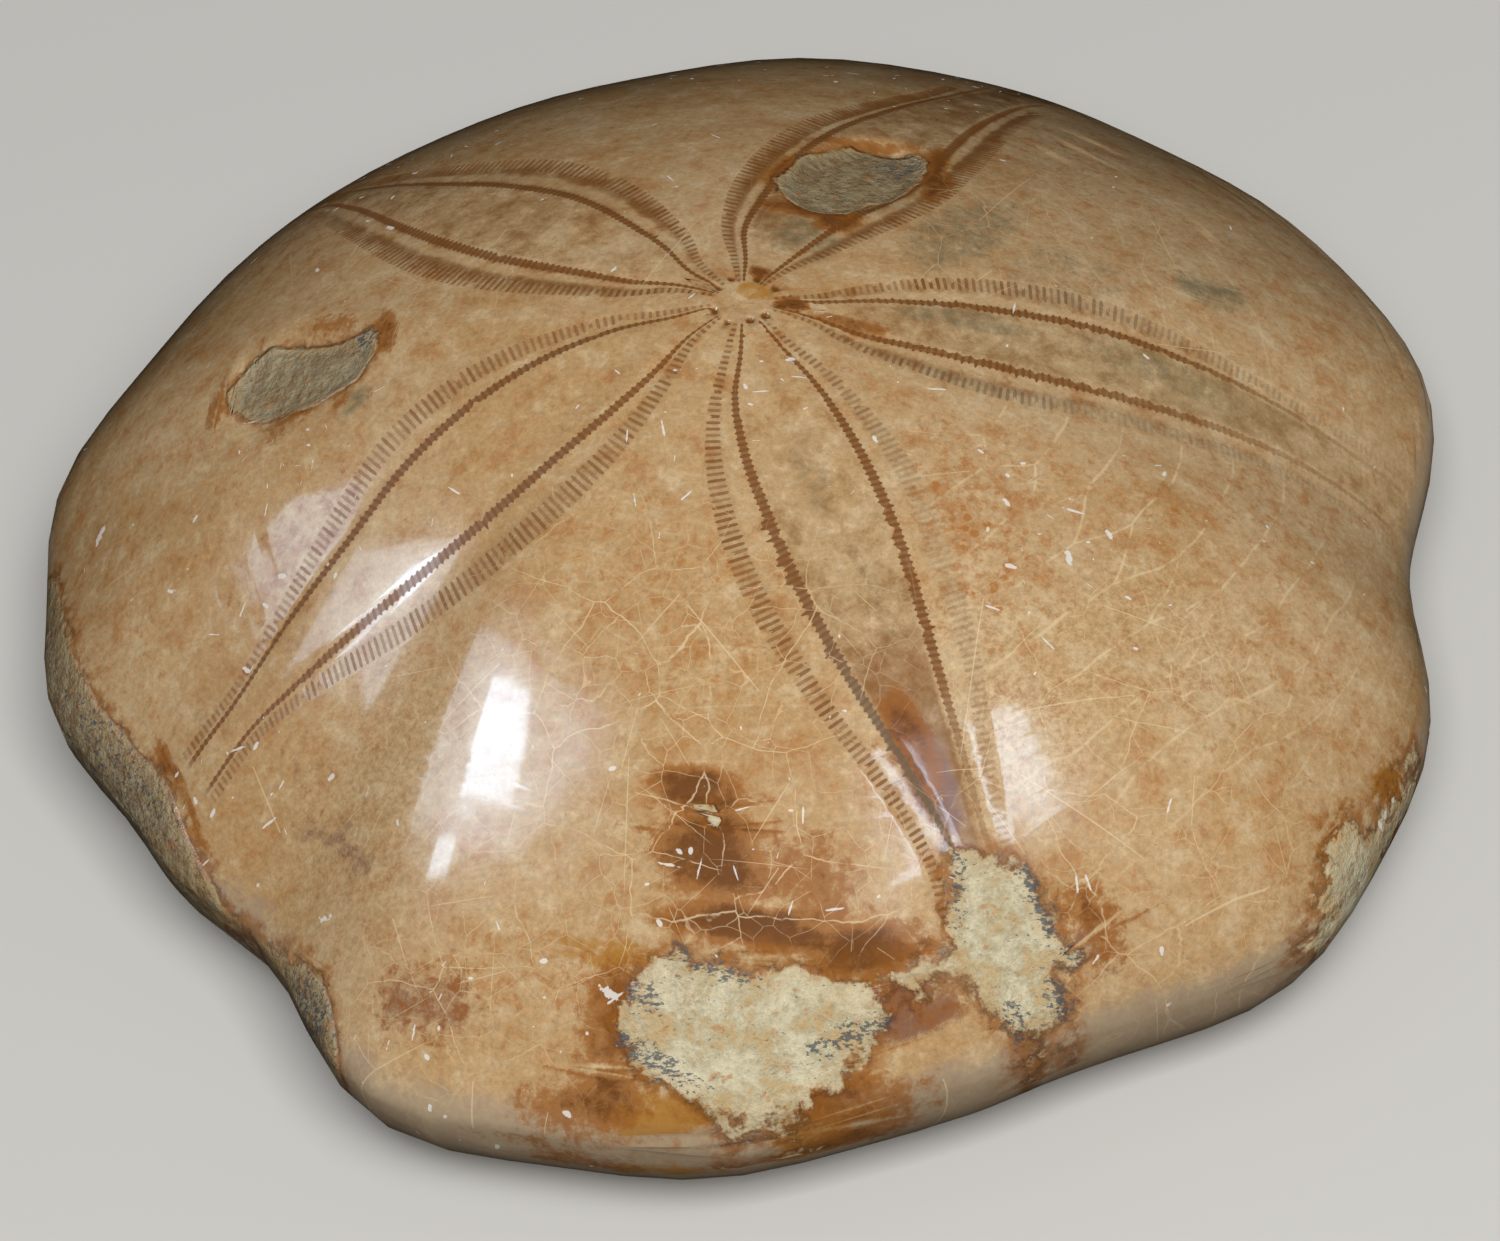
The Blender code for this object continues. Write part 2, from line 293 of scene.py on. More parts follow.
FRONT_RIGHT = Petal(
    Row((261.5, 261.5, 263.9, 269.6, 275.7, 281.7, 287.0, 289.6)),
    Row(
        (272.4, 270.0, 273.0, 278.6, 282.9, 286.8, 290.2, 292.0),
        grey=(0.0, 0.0, 0.0, 0.0, 0.1, 0.5, 0.8, 0.8),
    ),
    Row(
        (305.7, 307.0, 305.6, 302.8, 299.8, 297.4, 295.9, 295.0),
        strength=(1.0, 1.0, 1.0, 1.0, 1.0, 1.0, 0.6, 0.4),
    ),
    Row(
        (313.0, 315.0, 313.3, 310.1, 305.4, 302.0, 298.4, 296.6),
        strength=(0.9, 0.9, 0.8, 0.5, 0.35, 0.5, 0.5, 0.4),
        grey=(0.2, 0.3, 0.6, 0.9, 0.8, 0.4, 0.2, 0.2),
    ),
    field_grey=(0.1, 0.1, 0.25, 0.35, 0.4, 0.2, 0.0, 0.0),
    field_brown=(0.1, 0.1, 0.1, 0.1, 0.2, 0.7, 0.9, 0.7),
)


@dataclass(frozen=True)
class Petals:
    """The five petals about the middle of the apical disc."""

    apex: Point = (3.3, 1.2)
    stations: tuple[float, ...] = (4.0, 8.0, 12.0, 18.0, 24.0, 30.0, 36.0, 42.0)
    petals: tuple[Petal, ...] = (FRONT, FRONT_LEFT, REAR_LEFT, REAR_RIGHT, FRONT_RIGHT)
    margin: float = 0.8
    channel_depth: float = 0.16
    # How wide the soft edge of a field's stain is
    stain_edge: float = 0.6
    # Where the channels start and end, and how gently
    start: float = 3.5
    end: float = 43.0
    fade_in: float = 5.0
    fade_out: float = 6.0
    stain_fade_out: float = 4.0
    # Lengths of the outer slits and widths of the inner band, at the stations
    slit_lengths: tuple[float, ...] = (0.30, 0.55, 0.85, 1.25, 1.40, 1.10, 0.75, 0.60)
    band_widths: tuple[float, ...] = (0.35, 0.50, 0.70, 0.85, 0.90, 0.80, 0.60, 0.50)

    def along(self, values: tuple[float, ...], distance: Array) -> Array:
        """Carries values at the stations on a smooth curve, held level past both ends.

        Args:
            values: One number for each station.
            distance: Distances from the apex, in millimetres.

        Returns:
            The value at each distance.
        """
        stations, known = np.array(self.stations), np.array(values)
        slopes = np.gradient(known, stations)
        slopes[0] = slopes[-1] = 0.0
        distance = np.clip(distance, stations[0], stations[-1])
        place = np.searchsorted(stations, distance, side="right") - 1
        place = np.clip(place, 0, len(stations) - 2)
        width = stations[place + 1] - stations[place]
        t = (distance - stations[place]) / width
        from_value = known[place] * (1 + 2 * t) * (1 - t) ** 2
        from_slope = slopes[place] * width * t * (1 - t) ** 2
        to_value = known[place + 1] * t**2 * (3 - 2 * t)
        to_slope = slopes[place + 1] * width * t**2 * (t - 1)
        return from_value + from_slope + to_value + to_slope

    def about_apex(self, x: Array, y: Array) -> tuple[Array, Array]:
        """Gives a plan point's distance from the apex and its bearing."""
        from_x, from_y = x - self.apex[0], y - self.apex[1]
        return np.hypot(from_x, from_y), np.degrees(np.arctan2(from_y, from_x))

    def relief(self, x: Array, y: Array) -> Array:
        """Gives how far the pore channels sink, and fades them out at both ends."""
        distance, bearing = self.about_apex(x, y)
        fade = smooth_step((distance - self.start) / self.fade_in)
        fade = fade * smooth_step((self.end - distance) / self.fade_out)
        edge = np.degrees(self.margin / np.maximum(distance, self.start))
        relief = np.zeros_like(distance)
        for petal in self.petals:
            for side in Side:
                outer, inner = (self.along(row.bearings, distance) for row in petal.rows(side))
                half = np.abs(outer - inner) / 2 + edge
                across = np.abs(angle_between(bearing, (outer + inner) / 2)) / half
                relief -= self.channel_depth * np.maximum(1.0 - across**2, 0.0) ** 2
        return relief * fade

    def row_stains(self, x: Array, y: Array) -> Array:
        """Gives the nearest rows' stains: outer and inner strength, outer and inner greyness."""
        distance, bearing = self.about_apex(x, y)
        nearest = np.full(distance.shape, 1e9)
        stains = np.zeros((*distance.shape, 4))
        for petal in self.petals:
            for side in Side:
                outer, inner = petal.rows(side)
                middle = self.along(outer.bearings, distance) + self.along(inner.bearings, distance)
                away = np.abs(angle_between(bearing, middle / 2))
                here = away < nearest
                nearest = np.where(here, away, nearest)
                values = (outer.strength, inner.strength, outer.grey, inner.grey)
                for index, value in enumerate(values):
                    stains[..., index] = np.where(
                        here, self.along(value, distance), stains[..., index]
                    )
        return stains

    def field_stains(self, x: Array, y: Array) -> Array:
        """Gives how grey and how brown the fields are, and how brown the channels are."""
        distance, bearing = self.about_apex(x, y)
        stains = np.zeros((*distance.shape, 4))
        for petal in self.petals:
            outer_right, inner_right = (
                self.along(row.bearings, distance) for row in petal.rows(Side.RIGHT)
            )
            outer_left, inner_left = (
                self.along(row.bearings, distance) for row in petal.rows(Side.LEFT)
            )
            away = np.abs(angle_between(bearing, (inner_right + inner_left) / 2))
            inside_field = np.radians((inner_left - inner_right) / 2 - away) * distance
            inside_petal = np.radians((outer_left - outer_right) / 2 - away) * distance
            field_mask = smooth_step(inside_field / self.stain_edge)
            channel_mask = smooth_step(0.4 - inside_field / self.stain_edge)
            channel_mask = channel_mask * smooth_step(inside_petal + 0.7)
            channel_mask = channel_mask * smooth_step((self.end - distance) / self.stain_fade_out)
            values = (petal.field_grey, petal.field_brown, petal.channel_brown)
            for index, (value, mask) in enumerate(
                zip(values, (field_mask, field_mask, channel_mask), strict=True)
            ):
                stain = self.along(value, distance) * mask
                stains[..., index] = np.maximum(stains[..., index], stain)
        return stains


@dataclass(frozen=True)
class Hollow:
    """A worn, broken or flattened place, as an oval in plan."""

    at: Point
    half: Point
    turn: float
    depth: float
    edge: float

    def reach(self, x: Array, y: Array) -> Array:
        """Gives how far out a plan point lies: 0 in the middle and 1 on the outline."""
        across, up = turned_by(self.turn)
        from_x, from_y = x - self.at[0], y - self.at[1]
        length = from_x * across + from_y * up
        width = from_y * across - from_x * up
        return np.hypot(length / self.half[0], width / self.half[1])

    def relief(self, x: Array, y: Array) -> Array:
        """Gives how far the hollow sinks."""
        return -self.depth * smooth_step((1.0 - self.reach(x, y)) / self.edge)


@dataclass(frozen=True)
class ApicalDisc:
    """The low ring in the middle, with its five eye pits and its four larger pores."""

    radius: float = 2.3
    rim: float = 0.16
    # Each pit's place and radius
    eye_pits: tuple[tuple[float, float, float], ...] = (
        (5.7, 1.25, 0.42),
        (4.15, 3.85, 0.42),
        (1.5, 2.6, 0.34),
        (1.4, 0.3, 0.34),
        (3.9, -0.45, 0.36),
    )
    pores: tuple[tuple[float, float, float], ...] = (
        (2.35, 3.65, 0.34),
        (5.4, 2.85, 0.36),
        (4.85, 0.1, 0.36),
        (2.3, -0.9, 0.34),
    )
    pit_depth: float = 0.32

    def pits(self, x: Array, y: Array) -> Array:
        """Gives how far into a pit a plan point lies, 1 in its middle and 0 outside."""
        inside = np.zeros_like(x)
        for at_x, at_y, radius in self.eye_pits + self.pores:
            away = np.hypot(x - at_x, y - at_y) / radius
            inside = np.maximum(inside, smooth_step(1.35 - away))
        return inside

    def relief(self, x: Array, y: Array, apex: Point) -> Array:
        """Gives the ring's rise and the pits' fall."""
        share = (np.hypot(x - apex[0], y - apex[1]) / self.radius) ** 2
        return self.rim * share * np.exp(1.0 - share) - self.pit_depth * self.pits(x, y)


@dataclass(frozen=True)
class Underside:
    """The concave underside: where it rests, five furrows, and the mouth."""

    rest_reach: float = 0.80
    rest_wear: float = 0.10
    hollow: float = 5.0
    furrow_depth: float = 1.3
    furrow_half_width: float = 3.0
    # How long a furrow takes to deepen at the mouth and to flatten at the rim
    furrow_start: float = 6.0
    furrow_end: float = 7.0
    mouth: Point = (5.0, 0.2)
    mouth_radius: float = 3.6
    mouth_depth: float = 2.6
    mouth_corner: float = 0.10
    lip_radius: float = 6.2
    lip_width: float = 1.8
    lip_height: float = 0.9

    def height_at(self, x: Array, y: Array, dome: Dome, ends: list[Point]) -> Array:
        """Gives the underside's height over a plan point.

        Args:
            x: Plan places along X.
            y: Plan places along Y.
            dome: The body's top, for its rim.
            ends: Where the five furrows meet the rim.

        Returns:
            Heights in millimetres.
        """
        reach = dome.place(x, y)[0]
        out = np.clip((reach - self.rest_reach) / (1.0 - self.rest_reach), 0.0, 1.0)
        edge = dome.rim_height * (1.0 - np.sqrt(1.0 - out**2))
        middle = self.hollow * (1.0 - np.minimum(reach / self.rest_reach, 1.0) ** 2) ** 2
        height = np.where(reach >= self.rest_reach, edge, middle)
        height = height + self.furrows(x, y, ends) + self.mouth_height(x, y, ends[0])
        return np.maximum(height - self.rest_wear * (1.0 - reach**8), 0.0)

    def furrows(self, x: Array, y: Array, ends: list[Point]) -> Array:
        """Gives how far the five furrows rise into the body."""
        height = np.zeros_like(x)
        from_x, from_y = x - self.mouth[0], y - self.mouth[1]
        for end in ends:
            run_x, run_y = end[0] - self.mouth[0], end[1] - self.mouth[1]
            length = math.hypot(run_x, run_y)
            forward = (from_x * run_x + from_y * run_y) / length
            aside = (from_y * run_x - from_x * run_y) / length
            shape = smooth_step((forward - self.mouth_radius) / self.furrow_start)
            shape = shape * smooth_step((length - forward) / self.furrow_end)
            height += self.furrow_depth * shape * np.exp(-((aside / self.furrow_half_width) ** 2))
        return height

    def mouth_height(self, x: Array, y: Array, end: Point) -> Array:
        """Gives the five-cornered mouth and the swollen lips between the furrows."""
        from_x, from_y = x - self.mouth[0], y - self.mouth[1]
        away = np.hypot(from_x, from_y)
        toward = math.atan2(end[1] - self.mouth[1], end[0] - self.mouth[0])
        corner = np.cos(5 * (np.arctan2(from_y, from_x) - toward))
        pit_reach = away / (self.mouth_radius * (1.0 + self.mouth_corner * corner))
        lip = self.lip_height * np.exp(-(((away - self.lip_radius) / self.lip_width) ** 2))
        return self.mouth_depth * smooth_step(1.6 - pit_reach) - lip * (1.0 - corner) / 2


@dataclass(frozen=True)
class Spot:
    """A soft oval in plan where the stone is marked."""

    mark: Mark
    at: Point
    half: Point
    turn: float = 0.0
    amount: float = 1.0

    def mask(self, x: Array, y: Array) -> Array:
        """Gives the spot's strength over a plan point."""
        across, up = turned_by(self.turn)
        from_x, from_y = x - self.at[0], y - self.at[1]
        length = (from_x * across + from_y * up) / self.half[0]
        width = (from_y * across - from_x * up) / self.half[1]
        return self.amount * smooth_step(1.5 - np.hypot(length, width))


@dataclass(frozen=True)
class Patch:
    """A place where the filling shows: its outline in plan, and how little that frays."""

    outline: tuple[Point, ...]
    firm: float = 1.0

    def depth(self, x: Array, y: Array) -> Array:
        """Gives how far inside the outline a plan point lies, negative outside."""
        away = np.full(x.shape, 1e9)
        inside = np.zeros(x.shape, bool)
        corners = self.outline
        for (ax, ay), (bx, by) in zip(corners, corners[1:] + corners[:1], strict=True):
            run_x, run_y = bx - ax, by - ay
            t = ((x - ax) * run_x + (y - ay) * run_y) / (run_x**2 + run_y**2)
            t = np.clip(t, 0.0, 1.0)
            away = np.minimum(away, np.hypot(x - ax - t * run_x, y - ay - t * run_y))
            if ay != by:
                crossing = (y < ay) != (y < by)
                inside ^= crossing & (x < ax + (y - ay) / run_y * run_x)
        return self.firm * np.where(inside, away, -away)


PATCHES = (
    # The oval behind
    Patch(
        (
            (-34.0, 3.0), (-32.4, 5.0), (-30.7, 5.6), (-28.7, 5.0), (-26.3, 4.1), (-23.0, 3.6),
            (-22.3, 1.5), (-23.6, -0.9), (-26.8, -1.8), (-31.1, -1.0), (-33.7, 1.5),
        ),
        firm=2.0,
    ),
    # The scar on the front left petal
    Patch(
        (
            (4.3, 16.8), (5.6, 20.4), (8.9, 23.4), (11.3, 22.8), (13.3, 23.3), (14.5, 22.0),
            (14.2, 19.0), (12.4, 15.7), (10.7, 15.3), (9.5, 12.5), (6.7, 12.9), (4.5, 14.6),
        ),
        firm=2.0,
    ),
    # The large pale patch at the right edge
    Patch(
        (
            (-2.2, -44.2), (0.1, -43.0), (1.4, -43.3), (6.2, -43.9), (8.3, -42.7), (10.7, -43.9),
            (12.8, -43.8), (14.5, -44.5), (13.7, -45.7), (12.4, -46.8), (11.3, -48.1),
            (8.6, -49.8), (5.2, -51.0), (1.4, -50.5), (-1.9, -48.4), (-3.2, -47.5), (-2.8, -45.9),
        )
    ),
    # The patch over the end of the front right petal, and its tongue
    Patch(
        (
            (18.2, -36.4), (22.8, -36.6), (24.5, -38.7), (26.3, -39.9), (24.7, -40.9),
            (25.4, -42.6), (22.9, -44.5), (20.9, -43.9), (18.2, -42.7), (13.3, -43.7),
            (16.6, -42.1), (18.1, -41.4), (17.9, -39.4),
        )
    ),
    # The chip in the dark smear
    Patch(((1.5, -34.9), (2.5, -34.2), (3.6, -35.7), (3.1, -36.7), (2.2, -36.1)), firm=4.0),
    # The broken margin at the right rear
    Patch(
        (
            (-51.0, 0.0), (-47.6, -2.0), (-44.9, -10.6), (-42.6, -15.4), (-39.6, -19.2),
            (-36.4, -23.2), (-34.6, -27.2), (-31.6, -32.2), (-28.2, -35.0), (-24.6, -38.7),
            (-23.1, -41.5), (-22.2, -46.0), (-30.0, -44.0), (-44.0, -24.0),
        ),
        firm=1.5,
    ),
    # The worn margin at the front right
    Patch(
        (
            (43.0, -28.0), (45.0, -27.0), (46.4, -24.0), (48.0, -19.6), (50.0, -20.0),
            (46.0, -32.0), (39.6, -38.0), (41.6, -33.4),
        )
    ),
)  # fmt: skip

SPOTS = (
    # Brown stains: round the chip, above the large patch and left of it
    Spot(Mark.DARK_BROWN, (2.9, -37.6), (2.6, 2.9), 80.0),
    Spot(Mark.DARK_BROWN, (2.0, -34.2), (3.0, 1.3), -10.0, 0.9),
    Spot(Mark.DARK_BROWN, (5.5, -41.5), (5.6, 1.0), -3.0),
    Spot(Mark.DARK_BROWN, (12.8, -42.1), (3.6, 1.2), 12.0, 0.9),
    Spot(Mark.DARK_BROWN, (9.5, -39.0), (3.5, 2.4), -20.0, 0.5),
    Spot(Mark.DARK_BROWN, (-3.6, -45.5), (1.3, 3.2), 10.0, 0.8),
    Spot(Mark.DARK_BROWN, (-5.0, -49.6), (3.2, 1.6), 10.0, 0.8),
    Spot(Mark.DARK_BROWN, (11.0, -48.8), (4.5, 0.7), 14.0, 0.7),
    Spot(Mark.DARK_BROWN, (-16.0, -43.6), (4.6, 2.4), -10.0, 0.25),
    Spot(Mark.DARK_BROWN, (-27.0, -12.0), (6.0, 3.0), 30.0, 0.25),
    # Brown stains: over the end of the front right petal, the disc and the scar
    Spot(Mark.DARK_BROWN, (15.6, -30.6), (3.4, 1.5), -62.0, 0.6),
    Spot(Mark.DARK_BROWN, (9.0, 11.6), (1.8, 1.2), 20.0, 0.8),
    Spot(Mark.DARK_BROWN, (6.2, 12.6), (3.0, 0.8), -10.0, 0.7),
    Spot(Mark.DARK_BROWN, (15.0, 19.8), (0.9, 4.6), 0.0, 0.8),
    Spot(Mark.DARK_BROWN, (9.6, 23.8), (4.6, 0.6), 8.0, 0.5),
    Spot(Mark.DARK_BROWN, (4.2, 18.2), (0.7, 2.6), -20.0, 0.7),
    Spot(Mark.DARK_BROWN, (-28.4, 6.0), (4.6, 0.5), -16.0, 0.5),
    Spot(Mark.DARK_BROWN, (-28.0, -2.2), (5.0, 0.5), -4.0, 0.5),
    Spot(Mark.DARK_BROWN, (4.2, 4.5), (0.8, 0.6), 0.0, 0.9),
    Spot(Mark.DARK_BROWN, (6.6, 1.3), (1.1, 0.6), 0.0, 0.9),
    Spot(Mark.DARK_BROWN, (10.5, 0.2), (3.0, 0.6), -8.0, 0.6),
    Spot(Mark.DARK_BROWN, (-21.8, 2.8), (0.7, 2.2), 10.0, 0.7),
    Spot(Mark.DARK_BROWN, (-34.6, 2.4), (0.6, 2.2), -10.0, 0.6),
    # Brown stains: the right rear margin, and beside the patch at the petal's end
    Spot(Mark.DARK_BROWN, (-36.4, -22.0), (2.2, 0.3), -52.0, 0.8),
    Spot(Mark.DARK_BROWN, (-34.2, -26.2), (2.0, 0.25), -72.0, 0.6),
    Spot(Mark.DARK_BROWN, (26.5, -38.0), (3.0, 1.0), -35.0, 0.6),
    Spot(Mark.DARK_BROWN, (45.4, -30.6), (1.8, 1.2), 40.0, 0.5),
    # Grey-green clouds
    Spot(Mark.GREY_GREEN, (17.5, 12.5), (7.0, 3.4), 60.0, 0.6),
    Spot(Mark.GREY_GREEN, (24.5, 9.5), (6.0, 4.0), 20.0, 0.45),
    Spot(Mark.GREY_GREEN, (34.4, 13.2), (3.2, 2.0), 15.0, 0.8),
    Spot(Mark.GREY_GREEN, (18.0, 2.4), (5.5, 1.2), 2.0, 0.6),
    Spot(Mark.GREY_GREEN, (31.0, 2.6), (6.5, 1.6), -4.0, 0.55),
    Spot(Mark.GREY_GREEN, (7.0, 9.0), (2.6, 3.2), 20.0, 0.6),
    Spot(Mark.GREY_GREEN, (8.6, -13.0), (1.6, 4.6), 20.0, 0.45),
    Spot(Mark.GREY_GREEN, (13.0, -22.0), (1.4, 5.0), 25.0, 0.35),
    Spot(Mark.GREY_GREEN, (-23.6, -2.8), (1.6, 0.8), 40.0, 0.8),
    Spot(Mark.GREY_GREEN, (36.0, -24.0), (10.0, 5.0), 30.0, 0.2),
    # Bruises
    Spot(Mark.PURPLE, (-26.2, -28.0), (2.9, 0.7), -80.0, 0.5),
    Spot(Mark.PURPLE, (-23.0, -31.2), (2.4, 0.9), -70.0, 0.5),
    Spot(Mark.PURPLE, (-20.8, -34.6), (2.0, 0.8), -60.0, 0.5),
    Spot(Mark.PURPLE, (16.4, -31.8), (4.2, 1.5), -62.0, 1.0),
    Spot(Mark.PURPLE, (15.0, -44.6), (4.0, 1.4), 12.0, 0.9),
    Spot(Mark.PURPLE, (27.0, -39.2), (1.6, 2.2), 20.0, 0.6),
    Spot(Mark.PURPLE, (-16.0, -43.8), (4.4, 1.8), -12.0, 0.6),
    # Rust
    Spot(Mark.RUST, (20.5, -15.5), (6.0, 7.5), 10.0, 0.9),
    Spot(Mark.RUST, (30.0, -12.0), (6.0, 5.0), 20.0, 0.7),
    Spot(Mark.RUST, (0.5, -24.0), (8.0, 6.0), 0.0, 0.7),
    Spot(Mark.RUST, (-4.0, -16.5), (5.0, 3.0), 0.0, 0.5),
    Spot(Mark.RUST, (39.0, -8.0), (5.0, 9.0), 0.0, 0.5),
    Spot(Mark.RUST, (-8.0, -43.0), (12.0, 2.4), -4.0, 0.8),
    Spot(Mark.RUST, (40.0, -22.0), (6.0, 8.0), 0.0, 0.4),
    Spot(Mark.RUST, (-42.0, -10.0), (4.0, 9.0), 20.0, 0.5),
    Spot(Mark.RUST, (20.0, 28.0), (14.0, 7.0), -30.0, 0.5),
    Spot(Mark.RUST, (-24.0, 24.0), (14.0, 9.0), 30.0, 0.5),
    # Mustard
    Spot(Mark.MUSTARD, (-0.6, -50.6), (3.6, 1.0), 0.0, 1.0),
    Spot(Mark.MUSTARD, (9.8, -50.0), (3.6, 0.8), 14.0, 0.9),
    Spot(Mark.MUSTARD, (46.4, -23.4), (1.3, 0.9), 60.0, 0.9),
    Spot(Mark.MUSTARD, (42.6, -30.2), (2.4, 0.6), 75.0, 0.9),
    Spot(Mark.MUSTARD, (3.9, 2.4), (1.3, 1.0), 0.0, 0.6),
    Spot(Mark.MUSTARD, (-33.0, -31.0), (8.0, 0.7), -48.0, 0.6),
    Spot(Mark.MUSTARD, (-4.5, -42.6), (4.5, 0.9), -10.0, 0.6),
    Spot(Mark.MUSTARD, (13.5, -44.5), (2.4, 1.3), 0.0, 0.7),
    Spot(Mark.MUSTARD, (8.5, 14.0), (2.0, 1.6), 0.0, 0.5),
    # Blue-black specks in the filling
    Spot(Mark.BLUE_SPECKS, (2.4, -43.2), (3.6, 0.9), -14.0),
    Spot(Mark.BLUE_SPECKS, (-2.6, -44.4), (2.6, 0.7), -28.0),
    Spot(Mark.BLUE_SPECKS, (-1.0, -48.0), (3.6, 0.7), -24.0),
    Spot(Mark.BLUE_SPECKS, (11.8, -46.0), (3.2, 0.55), 22.0),
    Spot(Mark.BLUE_SPECKS, (24.6, -38.4), (3.4, 1.1), -48.0),
    Spot(Mark.BLUE_SPECKS, (25.2, -41.8), (1.2, 1.2), 0.0),
    Spot(Mark.BLUE_SPECKS, (22.0, -44.0), (1.0, 1.2), 0.0, 0.8),
    Spot(Mark.BLUE_SPECKS, (18.6, -38.2), (0.6, 2.4), 0.0, 0.8),
    Spot(Mark.BLUE_SPECKS, (-23.3, 3.0), (1.2, 0.9), 0.0, 0.9),
    Spot(Mark.BLUE_SPECKS, (-41.0, -19.5), (9.0, 1.6), -52.0, 0.6),
    Spot(Mark.BLUE_SPECKS, (-24.6, -41.0), (4.0, 1.2), -60.0, 0.8),
    Spot(Mark.BLUE_SPECKS, (12.4, 22.0), (1.6, 3.0), 0.0, 0.8),
    # Hairline veins
    Spot(Mark.VEINS, (-2.0, -27.0), (15.0, 10.0), 0.0, 1.0),
    Spot(Mark.VEINS, (4.0, -38.0), (13.0, 6.0), 0.0, 1.0),
    Spot(Mark.VEINS, (-14.0, -43.0), (12.0, 5.0), 0.0, 0.9),
    Spot(Mark.VEINS, (30.0, -30.0), (12.0, 12.0), 0.0, 0.7),
    Spot(Mark.VEINS, (24.0, 16.0), (12.0, 9.0), 0.0, 0.5),
    Spot(Mark.VEINS, (16.0, 8.0), (5.0, 3.0), 0.0, 0.6),
    Spot(Mark.VEINS, (-20.0, 5.0), (8.0, 5.0), 0.0, 0.4),
    # Small white chips
    Spot(Mark.CHIPS, (-28.0, -8.0), (8.0, 7.0), 0.0, 0.8),
    Spot(Mark.CHIPS, (-30.0, -25.0), (5.0, 3.0), -40.0, 1.0),
    Spot(Mark.CHIPS, (25.0, -17.0), (6.0, 8.0), 0.0, 1.0),
    Spot(Mark.CHIPS, (18.0, -8.0), (5.0, 2.0), 0.0, 1.0),
    Spot(Mark.CHIPS, (6.0, -10.0), (12.0, 8.0), 0.0, 0.5),
    Spot(Mark.CHIPS, (-13.0, -46.0), (10.0, 4.0), 0.0, 1.0),
    Spot(Mark.CHIPS, (6.0, -34.0), (9.0, 6.0), 0.0, 0.7),
    Spot(Mark.CHIPS, (-26.0, 28.0), (9.0, 6.0), 30.0, 0.9),
    Spot(Mark.CHIPS, (6.0, 40.0), (14.0, 6.0), 0.0, 0.7),
    # Plates that show their seams, and their spots
    Spot(Mark.PLATES, (30.0, -14.0), (15.0, 18.0), 0.0, 1.0),
    Spot(Mark.PLATES, (32.0, 14.0), (14.0, 9.0), 0.0, 0.5),
    Spot(Mark.PLATES, (2.0, -22.0), (13.0, 15.0), 0.0, 0.35),
    Spot(Mark.PLATES, (-24.0, -8.0), (10.0, 14.0), 0.0, 0.3),
    Spot(Mark.SPOTS, (19.5, -17.5), (4.6, 8.6), 14.0, 1.0),
    # Where the filling is greyer
    Spot(Mark.GREY_FILLING, (-43.0, -12.0), (24.0, 12.0), -60.0, 1.0),
    Spot(Mark.GREY_FILLING, (-30.0, -35.0), (20.0, 10.0), -50.0, 1.0),
    Spot(Mark.GREY_FILLING, (-28.4, 1.9), (6.6, 4.6), 0.0, 0.9),
    Spot(Mark.GREY_FILLING, (9.6, 18.6), (7.0, 7.0), 0.0, 1.0),
    # Painted sheen: pale spots where the windows are mirrored in the polish and where it is
    # brightly lit
    Spot(Mark.PAINTED_SHEEN, (22.0, -29.0), (5.0, 4.0), 0.0, 0.7),
    Spot(Mark.PAINTED_SHEEN, (-20.0, -30.0), (6.0, 9.0), -20.0, 0.35),
    Spot(Mark.PAINTED_SHEEN, (20.0, -23.0), (3.0, 2.0), 0.0, 0.6),
    Spot(Mark.PAINTED_SHEEN, (16.5, -42.6), (3.0, 0.55), 8.0, 1.0),
    Spot(Mark.PAINTED_SHEEN, (30.0, -22.0), (8.0, 6.0), 20.0, 0.35),
)


@dataclass(frozen=True)
class MapDisc:
    """A round part of the bake map: its middle, along both axes, and its radius."""

    middle: float
    radius: float

    def place(self, disc: Array) -> Array:
        """Carries places on a disc of radius 1 onto the map."""
        return self.middle + self.radius * disc


TOP_MAP = MapDisc(0.433, 0.43)
UNDER_MAP = MapDisc(0.845, 0.148)


@dataclass
class Net:
    """The finished grid: places, where each point lies along lanes and rings, and the bake map."""

    places: Array
    lane: Array
    ring: Array
    map_top: Array
    map_under: Array
    rim_ring: int


